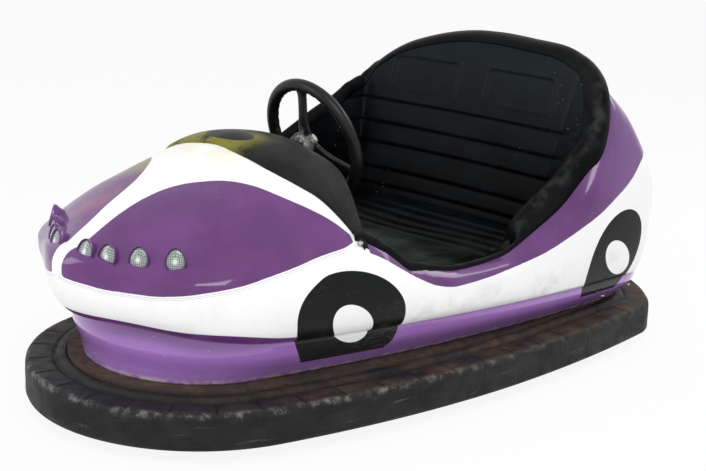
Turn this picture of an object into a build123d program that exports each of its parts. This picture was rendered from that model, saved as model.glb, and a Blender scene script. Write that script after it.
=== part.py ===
from build123d import *
import functools
import math
import os

# Fairground bumper car.  Millimetres, +Z up, nose towards -Y, the car's left side towards +X.
# The origin is on the floor under the middle of the bumper.

# ---------------------------------------------------------------- driving sizes
BUMPER_LENGTH = 1900
DRAWN_LENGTH = 1900         # places along the car below are written for this length
BUMPER_HALF_WIDTH = 518
BUMPER_BOTTOM = 30          # clear height under the rubber
BUMPER_TOP = 119
BUMPER_DEPTH = 100          # rubber, from its outer wall to the steel band
BAND_WALL = 6               # steel band behind the rubber
BAND_TOP = 127

DECK_TOP = 112              # steel deck that carries everything
DECK_PLATE = 6
RAIL_SIZE = 40
RAIL_GAUGE = 3
RAIL_SPACING = 300          # between the rails' middles



def along(y):
    """A place along the car, moved as the bumper's length changes."""
    return y * BUMPER_LENGTH / DRAWN_LENGTH


SHELL_WALL = 5
SKIRT_BOTTOM = 133
SILL_HEIGHT = 187           # the skirt turns in below this
SKIRT_TOP = 300             # its walls are drawn up to here and cut at the waist
JOINT_GAP = 0.3             # between skirt and upper shell
WAIST_KNEE = (along(-600), 243)    # y and z where the joint between skirt and upper shell bends
WAIST_FALL = 0.018          # how fast that line falls behind the knee, and ahead of it
NOSE_FALL = 0.127
NOSE_CENTRE = along(-525)   # centre of the round nose; the drive unit turns about it too

RIM_THICKNESS = 14
RIM_WIDTH = 58
COWL_THICKNESS = 6
LINER_WALL = 5

DRIVE_WHEEL_RADIUS = 90
DRIVE_WHEEL_WIDTH = 56
REAR_WHEEL_RADIUS = 70
REAR_WHEEL_WIDTH = 44
REAR_WHEEL_X = 320
REAR_WHEEL_Y = along(430)
PIN_CLEARANCE = 0.05        # radial, on every turning pin

STEER_Y = along(-174)
STEER_Z = 603
STEER_RAKE = 19             # degrees that the wheel's axis points up towards the driver
STEER_RADIUS = 166
STEER_RIM = 15


# ---------------------------------------------------------------- arcs
def meeting(ca, ra, cb, rb):
    """Both points at distance ra from ca and rb from cb."""
    dx, dy = cb[0] - ca[0], cb[1] - ca[1]
    gap = math.hypot(dx, dy)
    along = (ra * ra - rb * rb + gap * gap) / (2 * gap)
    across = math.sqrt(max(ra * ra - along * along, 0))
    ux, uy = dx / gap, dy / gap
    return [(ca[0] + ux * along - uy * side * across, ca[1] + uy * along + ux * side * across)
            for side in (1, -1)]


def bend(centre, radius, start, end, place):
    """An arc about a centre; place turns its two coordinates into a point."""
    points = [place(centre[0] + radius * math.cos(a), centre[1] + radius * math.sin(a))
              for a in (start, (start + end) / 2, end)]
    return Edge.make_three_point_arc(*points)


# ---------------------------------------------------------------- plan outlines
class Outline:
    """A closed plan outline, the same left and right, of tangent arcs.

    A nose arc, a long side arc out to the widest point, a rear side arc, a corner and a
    tail arc.  The side arc's radius and the corner's centre follow from the rest.
    """

    def __init__(self, half_width, widest, nose, nose_radius, rear_radius, corner_radius,
                 tail, tail_radius):
        widest, nose, tail = along(widest), along(nose), along(tail)
        self.nose, self.tail = nose, tail
        nose_centre = (0, nose + nose_radius)
        tail_centre = (0, tail - tail_radius)
        run = widest - nose_centre[1]
        side_radius = (half_width ** 2 + run ** 2 - nose_radius ** 2) \
            / (2 * (half_width - nose_radius))
        side_centre = (half_width - side_radius, widest)
        rear_centre = (half_width - rear_radius, widest)
        corner_centre = max(meeting(rear_centre, rear_radius - corner_radius,
                                    tail_centre, tail_radius - corner_radius),
                            key=lambda spot: spot[1])
        nose_end = math.atan2(nose_centre[1] - widest, -side_centre[0])
        rear_end = math.atan2(corner_centre[1] - widest, corner_centre[0] - rear_centre[0])
        tail_start = math.atan2(corner_centre[1] - tail_centre[1], corner_centre[0])
        # columns: centre, radius, start angle, end angle; right half, nose to tail
        self.arcs = [(nose_centre, nose_radius, -math.pi / 2, nose_end),
                     (side_centre, side_radius, nose_end, 0),
                     (rear_centre, rear_radius, 0, rear_end),
                     (corner_centre, corner_radius, rear_end, tail_start),
                     (tail_centre, tail_radius, tail_start, math.pi / 2)]

    def wire(self, z, inset=0):
        edges = []
        for mirror in (1, -1):
            for centre, radius, start, end in self.arcs[1:4]:
                edges.append(bend(centre, radius - inset, start, end,
                                  lambda x, y: (mirror * x, y, z)))
        for (centre, radius, start, end), low, high in (
                (self.arcs[0], math.pi - self.arcs[0][3] - 2 * math.pi, self.arcs[0][3]),
                (self.arcs[4], self.arcs[4][2], math.pi - self.arcs[4][2])):
            edges.append(bend(centre, radius - inset, low, high, lambda x, y: (x, y, z)))
        return Wire(edges)

    def half_width(self, y, inset=0):
        """Distance from the centre line to the outline at y, or 0 beyond its ends."""
        if y <= self.nose + inset or y >= self.tail - inset:
            return 0
        for centre, radius, start, end in self.arcs:
            r = radius - inset
            if y <= centre[1] + r * math.sin(end) + 1e-6:
                return centre[0] + math.sqrt(max(r * r - (y - centre[1]) ** 2, 0))
        return 0


def prism(outline, low, high, inset=0):
    face = Face(outline.wire(low, inset))
    return Solid.extrude(face, Vector(0, 0, high - low))


def ring_prism(outline, low, high, outer, inner):
    return prism(outline, low, high, outer) - prism(outline, low - 1, high + 1, inner)


HALF = BUMPER_LENGTH / 2
# half width, widest y, nose, nose radius, rear side radius, corner radius, tail, tail radius
BUMPER = Outline(BUMPER_HALF_WIDTH, 157, -950, 430, 4090, 130, 950, 592)
SKIRT_FOOT = Outline(406, 480, -813, 290, 2500, 170, 800, 700)
SKIRT_SILL = Outline(455, 450, -822, 335, 2500, 175, 822, 700)
SKIRT_HEAD = Outline(471, 450, -826, 330, 2500, 180, 838, 700)
SHELL_FOOT = Outline(478, 450, -886, 364, 2500, 180, 845, 700)
SHELL_BELT = Outline(499, 500, -932, 405, 2500, 190, 872, 700)
OPENING = Outline(452, 330, -963, 400, 2500, 85, 530, 1500)
TUB_FOOT = Outline(350, 300, -740, 225, 2500, 60, 430, 1500)


def waist(y):
    """Height at which the skirt meets the upper shell."""
    fall = NOSE_FALL if y < WAIST_KNEE[0] else WAIST_FALL
    return WAIST_KNEE[1] - fall * (y - WAIST_KNEE[0])


# ---------------------------------------------------------------- upper shell surface
# Cross sections from nose to tail.  Columns: y, foot height (0 takes the waist line),
# height where it is widest, crown height, shoulder radius, crown radius.
SHELL_SECTIONS = [
    (-930, 365, 395, 415, 12, 500),
    (-915, 320, 395, 438, 30, 500),
    (-887, 284, 395, 460, 50, 500),
    (-840, 0, 393, 486, 70, 500),
    (-770, 0, 388, 520, 90, 550),
    (-680, 0, 370, 558, 100, 600),
    (-580, 0, 370, 594, 120, 600),
    (-500, 0, 362, 628, 120, 560),
    (-420, 0, 350, 650, 110, 500),
    (-330, 0, 330, 637, 90, 520),
    (-265, 0, 318, 612, 80, 540),
    (-190, 0, 300, 480, 50, 900),
    (-100, 0, 290, 432, 36, 1200),
    (50, 0, 295, 440, 40, 1200),
    (200, 0, 320, 492, 60, 1200),
    (330, 0, 350, 560, 80, 1200),
    (430, 0, 385, 700, 90, 1150),
    (500, 0, 410, 845, 100, 1150),
    (540, 0, 415, 855, 110, 1150),
    (620, 0, 420, 820, 150, 900),
    (700, 0, 420, 730, 160, 700),
    (770, 0, 415, 615, 120, 600),
    (825, 0, 395, 515, 60, 500),
    (855, 300, 395, 455, 40, 500),
    (869, 350, 390, 418, 16, 500),
]
SIDE_RADIUS = 800


def section_wire(y, foot, belt, crown, shoulder, crown_radius, grow):
    """One cross section of the upper shell, thickened outwards by grow."""
    wide = max(SHELL_BELT.half_width(y, -grow), 30 + grow)
    low = foot if foot else waist(y)
    narrow = min(max(SHELL_FOOT.half_width(y, -grow), 0.75 * wide), wide - 2)
    low = low - grow
    crown, crown_radius = crown + grow, crown_radius + grow
    rise = belt - crown + crown_radius
    room = (crown_radius ** 2 - wide ** 2 - rise ** 2) / (2 * (crown_radius - wide))
    shoulder = min(shoulder + grow, room - 0.5)
    side = SIDE_RADIUS + grow
    dx, dz = wide - narrow, belt - low
    under = (dx * dx + dz * dz) / (2 * dx)
    under_turn = math.atan2(dz, under - dx)
    side_centre, crown_centre = (wide - side, belt), (0, crown - crown_radius)
    spots = meeting(side_centre, side - shoulder, crown_centre, crown_radius - shoulder)
    corner = max(spots)
    side_end = math.atan2(corner[1] - belt, corner[0] - side_centre[0])
    crown_end = math.atan2(corner[1] - crown_centre[1], corner[0])
    edges = [bend(crown_centre, crown_radius, crown_end, math.pi - crown_end,
                  lambda x, z: (x, y, z))]
    for mirror in (1, -1):
        for centre, radius, start, end in (((wide - under, belt), under, -under_turn, 0),
                                           (side_centre, side, 0, side_end),
                                           (corner, shoulder, side_end, crown_end)):
            edges.append(bend(centre, radius, start, end, lambda x, z: (mirror * x, y, z)))
    edges.append(Edge.make_line((narrow, y, low), (-narrow, y, low)))
    return Wire(edges)


@functools.lru_cache(maxsize=None)
def shell_body(grow):
    """The closed form of the upper shell, thickened by grow."""
    wires = []
    for row in SHELL_SECTIONS:
        y = along(row[0])
        y += grow * (y / HALF) ** 7
        wires.append(section_wire(y, *row[1:], grow))
    return Solid.make_loft(wires, ruled=True)


def slab(points, half=700):
    """A solid with this outline in Y and Z, reaching half to each side."""
    wire = Wire.make_polygon([(-half, y, z) for y, z in points])
    return Solid.extrude(Face(wire), Vector(2 * half, 0, 0))


def above_waist(gap=0):
    return slab([(-HALF, waist(-HALF) + gap), (WAIST_KNEE[0], WAIST_KNEE[1] + gap),
                 (HALF, waist(HALF) + gap), (HALF, 1200), (-HALF, 1200)])


def block(x, y, z, wide, long, high):
    """A box by its middle in x and y and its underside in z."""
    return Pos(x, y, z + high / 2) * Box(wide, long, high)


def rod(x, y, z, radius, length, axis="Z"):
    """A cylinder centred on x, y, z."""
    turn = {"X": Rot(0, 90, 0), "Y": Rot(90, 0, 0), "Z": Rot(0, 0, 0)}[axis]
    return Pos(x, y, z) * turn * Cylinder(radius, length)


# ---------------------------------------------------------------- bumper and deck
def bumper_ring():
    wall = ring_prism(BUMPER, BUMPER_BOTTOM, BUMPER_TOP, 0, BUMPER_DEPTH)
    bead = ring_prism(BUMPER, BUMPER_TOP, BUMPER_TOP + 8, BUMPER_DEPTH - 20, BUMPER_DEPTH)
    return wall + bead


def bumper_band():
    return ring_prism(BUMPER, BUMPER_BOTTOM + 4, BAND_TOP, BUMPER_DEPTH, BUMPER_DEPTH + BAND_WALL)


def skirt_ledge():
    plate = prism(BUMPER, BAND_TOP, SKIRT_BOTTOM, BUMPER_DEPTH)
    return plate - prism(SKIRT_FOOT, BAND_TOP - 1, SKIRT_BOTTOM + 1, 25)


DECK_INSET = BUMPER_DEPTH + BAND_WALL
HOUSING_BORE = 183
HOUSING_WALL = 10
WHEEL_GAP = 12


def deck():
    plate = prism(BUMPER, DECK_TOP - DECK_PLATE, DECK_TOP, DECK_INSET)
    plate -= rod(0, NOSE_CENTRE, DECK_TOP, HOUSING_BORE, 50)
    for side in (1, -1):
        plate -= block(side * REAR_WHEEL_X, REAR_WHEEL_Y, DECK_TOP - 20, REAR_WHEEL_WIDTH + 2 * WHEEL_GAP,
                       2 * (REAR_WHEEL_RADIUS + WHEEL_GAP), 40)
    return plate


def deck_rails():
    under = DECK_TOP - DECK_PLATE - RAIL_SIZE
    front, rear = NOSE_CENTRE + HOUSING_BORE + 30, along(700)
    frame = None
    for x in (-RAIL_SPACING / 2, RAIL_SPACING / 2):
        rail = block(x, (front + rear) / 2, under, RAIL_SIZE, rear - front, RAIL_SIZE)
        rail -= block(x, (front + rear) / 2, under + RAIL_GAUGE, RAIL_SIZE - 2 * RAIL_GAUGE,
                      rear - front + 2, RAIL_SIZE - 2 * RAIL_GAUGE)
        frame = rail if frame is None else frame + rail
    for y in (-250, 100, 600):
        frame += block(0, along(y), under, RAIL_SPACING - RAIL_SIZE, RAIL_SIZE, RAIL_SIZE)
    return frame


# ---------------------------------------------------------------- shells
def skirt_form(inset, reach):
    """The closed form of the skirt, drawn in by inset and longer by reach at both ends."""
    levels = ((SKIRT_FOOT, SKIRT_BOTTOM), (SKIRT_SILL, SILL_HEIGHT), (SKIRT_HEAD, SKIRT_TOP))
    form = Solid.make_loft([outline.wire(z, inset) for outline, z in levels], ruled=True)
    if reach:
        form += prism(SKIRT_FOOT, SKIRT_BOTTOM - reach, SKIRT_BOTTOM, inset)
        form += prism(SKIRT_HEAD, SKIRT_TOP, SKIRT_TOP + reach, inset)
    return form


def skirt():
    outer = skirt_form(0, 0)
    wall = outer - skirt_form(SHELL_WALL, 1) - above_waist(-JOINT_GAP)
    shelf = prism(SHELL_FOOT, SILL_HEIGHT, SKIRT_TOP, 1) - above_waist(-JOINT_GAP)
    shelf = shelf & above_waist(-JOINT_GAP - SHELL_WALL)
    return wall + (shelf - outer)


OPENING_FRONT = along(-388) # the hood ends here
HEM_INSET = 30              # from the opening's outline to the shell's inner edge
LINER_INSET = 50            # from the opening's outline to the tub's walls
TUB_KNEE = 350              # the tub's walls lean in below this
KNEE_SLACK = 3              # the shell's own foot runs straight past the waist's knee


def opening(low, high, inset):
    cut = prism(OPENING, low, high, inset)
    low, high = low - 1, high + 1
    return cut & slab([(OPENING_FRONT, low), (HALF, low), (HALF, high), (OPENING_FRONT, high)])


def upper_shell():
    shell = shell_body(0) - shell_body(-SHELL_WALL)
    shell -= prism(SHELL_FOOT, 150, SKIRT_TOP + 20, SHELL_WALL) - above_waist(SHELL_WALL + KNEE_SLACK)
    return shell - opening(100, 1000, HEM_INSET)


def rim_band():
    skin = shell_body(RIM_THICKNESS) - shell_body(0)
    return skin & (opening(300, 1000, 0) - opening(290, 1010, RIM_WIDTH))


COWL_HALF = 412
COWL_FRONT = -500           # on the centre line
COWL_CORNER = -400
COWL_REAR = -268


def cowl():
    front, rear = along(COWL_CORNER), OPENING_FRONT - 0.5
    edges = [Edge.make_three_point_arc((-COWL_HALF, front), (0, along(COWL_FRONT)), (COWL_HALF, front)),
             Edge.make_line((COWL_HALF, front), (COWL_HALF, rear)),
             Edge.make_three_point_arc((COWL_HALF, rear), (0, along(COWL_REAR)), (-COWL_HALF, rear)),
             Edge.make_line((-COWL_HALF, rear), (-COWL_HALF, front))]
    plan = Pos(0, 0, 380) * Solid.extrude(Face(Wire(edges)), Vector(0, 0, 400))
    rim = opening(300, 1000, -1) - opening(290, 1010, RIM_WIDTH + 1)
    return (shell_body(COWL_THICKNESS) - shell_body(0)) & (plan - rim)


# ---------------------------------------------------------------- cockpit
SEAT_FRONT = along(-95)
SEAT_TOP = 318
SEAT_BACK_FOOT = along(330)
SEAT_PANEL = 26
BACK_TOP = (along(478), 846)
GROOVE_WIDTH = 14
GROOVE_DEPTH = 9


def tub_form(inset):
    """The closed form of the cockpit tub: upright above, drawn in towards the deck."""
    low = Solid.make_loft([TUB_FOOT.wire(DECK_TOP, inset),
                           OPENING.wire(TUB_KNEE, LINER_INSET + inset)], ruled=True)
    high = prism(OPENING, TUB_KNEE, 1000, LINER_INSET + inset)
    front = slab([(OPENING_FRONT, 0), (HALF, 0), (HALF, 1100), (OPENING_FRONT, 1100)])
    return (low + high) & front


def tub_liner():
    walls = tub_form(0) - tub_form(LINER_WALL)
    upper = walls & shell_body(0)
    walls = upper + (walls - above_waist())
    return walls - block(0, along(500), 0, 900, 400, 2 * REAR_WHEEL_RADIUS + WHEEL_GAP)


def seat_back():
    foot = (SEAT_BACK_FOOT, SEAT_TOP + SEAT_PANEL)
    run, rise = BACK_TOP[0] - foot[0], BACK_TOP[1] - foot[1]
    length = math.hypot(run, rise)
    lean = math.degrees(math.atan2(run, rise))
    panel = Pos(0, SEAT_PANEL / 2, length / 2) * Box(900, SEAT_PANEL, length)
    for i in range(7):
        panel -= Pos(0, 0, 60 + i * 52) * Box(900, 2 * GROOVE_DEPTH, GROOVE_WIDTH)
    for side in (1, -1):
        panel -= Pos(side * 130, 0, length - 62) * Box(180, 2 * GROOVE_DEPTH, 70)
    panel = Pos(0, *foot) * Rot(-lean, 0, 0) * panel
    above = slab([(0, SEAT_TOP + SEAT_PANEL), (HALF, SEAT_TOP + SEAT_PANEL), (HALF, 1000), (0, 1000)])
    return panel & tub_form(LINER_WALL) & shell_body(0) & above


def seat_cushion():
    depth = SEAT_BACK_FOOT - SEAT_FRONT + SEAT_PANEL
    panel = block(0, SEAT_FRONT + depth / 2, SEAT_TOP, 900, depth, SEAT_PANEL)
    for y in (60, 115, 170, 225, 280):
        panel -= block(0, along(y), SEAT_TOP + SEAT_PANEL - GROOVE_DEPTH, 900, GROOVE_WIDTH, 20)
    return panel & tub_form(LINER_WALL)


def seat_riser():
    panel = block(0, SEAT_FRONT + 30, DECK_TOP, 900, 8, SEAT_TOP - DECK_TOP)
    return panel & tub_form(LINER_WALL)


def toe_board():
    points = ((-300, DECK_TOP), (-292, DECK_TOP), (-332, 420), (-340, 420))
    return slab([(along(y), z) for y, z in points], 250)


def battery_block():
    return block(0, along(180), DECK_TOP, 360, 200, 175)


MAT_THICKNESS = 5


def floor_mat():
    return block(0, along(-180), DECK_TOP, 560, 205, MAT_THICKNESS)


PEDAL_X = -110              # under the right foot
PEDAL_FRONT = (along(-262), 142)   # underside of the pedal plate, y and z
PEDAL_BEND = (along(-214), 168)
PEDAL_REAR = (along(-150), 146)
PEDAL_PLATE = 6
BRACKET_Y = along(-240)
BRACKET_LONG = 40
SEAT_GAP = 0.3              # between the pedal and the bracket that carries it


def pedal_bracket():
    edge = BRACKET_Y - BRACKET_LONG / 2
    slope = (PEDAL_BEND[1] - PEDAL_FRONT[1]) / (PEDAL_BEND[0] - PEDAL_FRONT[0])
    top = PEDAL_FRONT[1] + slope * (edge - PEDAL_FRONT[0]) - SEAT_GAP
    return block(PEDAL_X, BRACKET_Y, DECK_TOP + MAT_THICKNESS, 60, BRACKET_LONG,
                 top - DECK_TOP - MAT_THICKNESS)


def pedal():
    under = [PEDAL_REAR, PEDAL_BEND, PEDAL_FRONT]
    over = [(y, z + PEDAL_PLATE) for y, z in reversed(under)]
    return Pos(PEDAL_X, 0, 0) * slab(under + over, 45)


# ---------------------------------------------------------------- lamps
LAMP_ANGLES = (10.6, 19.9, 31.2, 43.5)
LAMP_RADIUS = 380
LAMP_HEIGHT = 440
LENS_RADIUS = 19
POD_RADIUS = 27
POD_LENGTH = 95


def lamp_place(side, angle):
    a = math.radians(angle)
    x = side * LAMP_RADIUS * math.sin(a)
    y = NOSE_CENTRE - LAMP_RADIUS * math.cos(a)
    return Pos(x, y, LAMP_HEIGHT) * Rot(0, 0, side * angle)


def pod_form():
    """A teardrop about the Y axis, blunt end at the front and thin end behind."""
    nose = Edge.make_three_point_arc((0, -POD_RADIUS * 0.6, 0), (POD_RADIUS * 0.75, -POD_RADIUS * 0.2, 0),
                                     (POD_RADIUS, POD_RADIUS * 0.5, 0))
    tail = Edge.make_line((POD_RADIUS, POD_RADIUS * 0.5, 0), (2, POD_LENGTH, 0))
    close = [Edge.make_line((2, POD_LENGTH, 0), (0, POD_LENGTH, 0)),
             Edge.make_line((0, POD_LENGTH, 0), (0, -POD_RADIUS * 0.6, 0))]
    return Solid.revolve(Face(Wire([nose, tail] + close)), 360, Axis.Y)


def lamps(side):
    """The pods, and the lenses that sit in them, on one side of the nose."""
    pods, lenses = [], []
    body = shell_body(0)
    for angle in LAMP_ANGLES:
        place = lamp_place(side, angle)
        tilt = Rot(22, 0, 0)
        lens = place * Pos(0, -8, 0) * Rot(90, 0, 0) * Cylinder(LENS_RADIUS, 22)
        form = place * tilt * pod_form()
        pods.append(form - body - lens)
        lenses.append(lens - body)
    return pods, lenses


# ---------------------------------------------------------------- steering
TILT = Pos(0, STEER_Y, STEER_Z) * Rot(STEER_RAKE - 90, 0, 0)
SHAFT_RADIUS = 11
TUBE_RADIUS = 21
HUB_BACK = 42               # how far the hub stands below the rim's plane
GEARBOX = (92, 110, 84)
AXIS_RUN = (STEER_Y - NOSE_CENTRE) / math.cos(math.radians(STEER_RAKE))
GEARBOX_Z = STEER_Z - (STEER_Y - NOSE_CENTRE) * math.tan(math.radians(STEER_RAKE))
KINGPIN_RADIUS = 15
KINGPIN_TOP = GEARBOX_Z - 12


def steering_wheel():
    rim = Torus(STEER_RADIUS - STEER_RIM, STEER_RIM)
    hub = Pos(0, 0, -HUB_BACK + 14) * Cylinder(34, 28)
    wheel = rim + hub
    for turn in (0, 120, 240):
        reach = STEER_RADIUS - 1.6 * STEER_RIM
        drop = HUB_BACK - 16
        spoke = Pos(0, -reach / 2 - 8, -drop / 2 - 3) * Rot(-math.degrees(math.atan2(drop, reach)), 0, 0) \
            * Box(26, reach, 11)
        wheel += Rot(0, 0, turn) * spoke
    wheel -= Pos(0, 0, -HUB_BACK) * Cylinder(SHAFT_RADIUS, 100)
    return TILT * wheel


def steering_nut():
    return TILT * Pos(0, 0, -HUB_BACK + 28 + 7) * Cylinder(15, 14)


def steering_shaft():
    low, high = AXIS_RUN - 20, HUB_BACK - 28
    return TILT * Pos(0, 0, -(low + high) / 2) * Cylinder(SHAFT_RADIUS, low - high)


def column_tube():
    high, low = HUB_BACK + 14, AXIS_RUN - GEARBOX[1] / 2
    tube = Pos(0, 0, -(low + high) / 2) * Cylinder(TUBE_RADIUS, low - high)
    tube -= Pos(0, 0, -(low + high) / 2) * Cylinder(SHAFT_RADIUS + PIN_CLEARANCE, low - high + 2)
    return TILT * tube - gearbox_form()


def gearbox_form():
    return Pos(0, NOSE_CENTRE, GEARBOX_Z) * Box(*GEARBOX)


def gearbox():
    box = gearbox_form()
    box -= TILT * Pos(0, 0, -AXIS_RUN + 50) * Cylinder(SHAFT_RADIUS + PIN_CLEARANCE, 200)
    box -= rod(0, NOSE_CENTRE, GEARBOX_Z - 100, KINGPIN_RADIUS + PIN_CLEARANCE, 200)
    return box


def gearbox_stand():
    """Two legs and a bridge that carry the gearbox over the turning unit."""
    foot = GEARBOX_Z - GEARBOX[2] / 2
    stand = None
    for side in (1, -1):
        leg = block(side * 200, NOSE_CENTRE, DECK_TOP, 8, 60, foot - DECK_TOP)
        stand = leg if stand is None else stand + leg
    bridge = block(0, NOSE_CENTRE, foot - 8, 408, 60, 8)
    bridge -= rod(0, NOSE_CENTRE, foot, KINGPIN_RADIUS + 6, 60)
    return stand + bridge


# ---------------------------------------------------------------- drive unit
TURNTABLE_Z = 192
TURNTABLE_RADIUS = 175
MOTOR_RADIUS = 78
MOTOR_HEIGHT = 130
AXLE_RADIUS = 10
FORK_GAP = 8
FORK_PLATE = 8


def housing():
    ring = rod(0, NOSE_CENTRE, DECK_TOP + 40, HOUSING_BORE + HOUSING_WALL, 80)
    return ring - rod(0, NOSE_CENTRE, DECK_TOP + 40, HOUSING_BORE, 82)


def turntable():
    return rod(0, NOSE_CENTRE, TURNTABLE_Z + 4, TURNTABLE_RADIUS, 8)


def drive_motor():
    top = TURNTABLE_Z + 8
    body = rod(0, NOSE_CENTRE, top + MOTOR_HEIGHT / 2, MOTOR_RADIUS, MOTOR_HEIGHT)
    return body


def kingpin():
    low = TURNTABLE_Z + 8 + MOTOR_HEIGHT
    return rod(0, NOSE_CENTRE, (low + KINGPIN_TOP) / 2, KINGPIN_RADIUS, KINGPIN_TOP - low)


def drive_fork():
    fork = None
    for side in (1, -1):
        x = side * (DRIVE_WHEEL_WIDTH / 2 + FORK_GAP + FORK_PLATE / 2)
        leg = block(x, NOSE_CENTRE, 62, FORK_PLATE, 70, TURNTABLE_Z - 62)
        fork = leg if fork is None else fork + leg
    return fork - rod(0, NOSE_CENTRE, DRIVE_WHEEL_RADIUS, AXLE_RADIUS, 300, "X")


def drive_axle():
    return rod(0, NOSE_CENTRE, DRIVE_WHEEL_RADIUS, AXLE_RADIUS, DRIVE_WHEEL_WIDTH + 2 * (FORK_GAP + FORK_PLATE) + 8,
               "X")


def wheel_hub(x, y, radius, width, bore):
    hub = rod(x, y, radius, 0.6 * radius, width - 8, "X") - rod(x, y, radius, 0.45 * radius, width, "X")
    hub += rod(x, y, radius, 0.45 * radius, 0.4 * width, "X") + rod(x, y, radius, bore + 9, width, "X")
    return hub - rod(x, y, radius, bore + PIN_CLEARANCE, 2 * width, "X")


def wheel_tyre(x, y, radius, width):
    tyre = rod(x, y, radius, radius, width, "X")
    return tyre - rod(x, y, radius, 0.6 * radius, 2 * width, "X")


REAR_AXLE_RADIUS = 9
BRACKET_PLATE = 6
BRACKET_GAP = 6


def rear_bracket(side):
    bracket = None
    for face in (1, -1):
        x = side * REAR_WHEEL_X + face * (REAR_WHEEL_WIDTH / 2 + BRACKET_GAP + BRACKET_PLATE / 2)
        leg = block(x, REAR_WHEEL_Y, 48, BRACKET_PLATE, 60, DECK_TOP - DECK_PLATE - 48)
        bracket = leg if bracket is None else bracket + leg
    return bracket - rod(side * REAR_WHEEL_X, REAR_WHEEL_Y, REAR_WHEEL_RADIUS, REAR_AXLE_RADIUS, 200, "X")


def rear_axle(side):
    length = REAR_WHEEL_WIDTH + 2 * (BRACKET_GAP + BRACKET_PLATE) + 6
    return rod(side * REAR_WHEEL_X, REAR_WHEEL_Y, REAR_WHEEL_RADIUS, REAR_AXLE_RADIUS, length, "X")


def save(name, shape):
    solids = shape if isinstance(shape, list) else list(shape.solids())
    solids = [s for item in solids for s in item.solids()]
    whole = solids[0] if len(solids) == 1 else Compound(children=solids)
    export_step(whole, "parts/" + name + ".step")


def main():
    os.makedirs("parts", exist_ok=True)
    for make in (bumper_ring, bumper_band, skirt_ledge, deck, deck_rails, skirt, upper_shell,
                 rim_band, cowl, tub_liner, seat_back, seat_cushion, seat_riser, toe_board,
                 battery_block, floor_mat, pedal_bracket, pedal, steering_wheel, steering_nut,
                 steering_shaft, column_tube, gearbox, gearbox_stand, housing, turntable,
                 drive_motor, kingpin, drive_fork, drive_axle):
        save(make.__name__, make())
    save("drive_hub", wheel_hub(0, NOSE_CENTRE, DRIVE_WHEEL_RADIUS, DRIVE_WHEEL_WIDTH, AXLE_RADIUS))
    save("drive_tyre", wheel_tyre(0, NOSE_CENTRE, DRIVE_WHEEL_RADIUS, DRIVE_WHEEL_WIDTH))
    for side, word in ((1, "left"), (-1, "right")):
        pods, lenses = lamps(side)
        save("lamp_pods_" + word, pods)
        save("lamp_lenses_" + word, lenses)
        save("rear_bracket_" + word, rear_bracket(side))
        save("rear_axle_" + word, rear_axle(side))
        place = (side * REAR_WHEEL_X, REAR_WHEEL_Y, REAR_WHEEL_RADIUS, REAR_WHEEL_WIDTH)
        save("rear_hub_" + word, wheel_hub(*place, REAR_AXLE_RADIUS))
        save("rear_tyre_" + word, wheel_tyre(*place))


if __name__ == "__main__":
    main()
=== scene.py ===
import math
from functools import partialmethod, reduce
import bpy
import numpy as np
from bpy.props import FloatProperty, FloatVectorProperty, PointerProperty
from mathutils import Matrix, Vector


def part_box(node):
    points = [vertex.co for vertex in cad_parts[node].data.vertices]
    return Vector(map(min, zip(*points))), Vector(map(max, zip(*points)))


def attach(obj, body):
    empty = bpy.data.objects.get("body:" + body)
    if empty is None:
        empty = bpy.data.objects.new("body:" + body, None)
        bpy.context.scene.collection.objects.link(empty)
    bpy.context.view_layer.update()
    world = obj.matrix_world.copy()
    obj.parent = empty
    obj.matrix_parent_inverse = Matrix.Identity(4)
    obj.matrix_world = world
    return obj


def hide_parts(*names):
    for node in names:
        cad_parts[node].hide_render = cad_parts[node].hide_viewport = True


bl_info = {"name": "Bumper car", "version": (1, 0, 0), "blender": (4, 5, 0),
           "location": "View3D > Sidebar > Bumper car",
           "description": "Builds the body, seat, bumper and finishes of a fairground bumper car",
           "category": "Add Mesh"}

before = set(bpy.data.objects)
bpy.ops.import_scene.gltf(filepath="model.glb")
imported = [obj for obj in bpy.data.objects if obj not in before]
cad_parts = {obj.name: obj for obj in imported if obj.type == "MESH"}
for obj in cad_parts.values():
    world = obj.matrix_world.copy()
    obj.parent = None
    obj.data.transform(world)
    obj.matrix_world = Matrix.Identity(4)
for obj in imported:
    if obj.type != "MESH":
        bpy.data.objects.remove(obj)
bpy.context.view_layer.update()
PANEL_WALL = 0.005           # gelcoat panels
LINING_WALL = 0.004          # thin plastic inside them
CIRCLE = 2 * math.pi


def thousandths(*rows):
    """A table written in thousandths: millimetres, or shares of the way round an outline."""
    return np.array(rows) / 1000


def stack(x, y, z):
    """Points from their three places, spread to the same shape."""
    return np.stack(np.broadcast_arrays(x, y, z), axis=-1)


def arc_between(ax, ay, radius_a, bx, by, radius_b, radius):
    """Centre of an arc tangent to two arcs, inside both: where circles about their centres, each
    smaller by its radius, cross."""
    reach_a, reach_b = radius_a - radius, radius_b - radius
    gap = np.hypot(bx - ax, by - ay)
    along = (reach_a ** 2 - reach_b ** 2 + gap ** 2) / (2 * gap)
    across = np.sqrt(np.maximum(reach_a ** 2 - along ** 2, 0))
    ux, uy = (bx - ax) / gap, (by - ay) / gap
    return ax + ux * along - uy * across, ay + uy * along + ux * across


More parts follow.
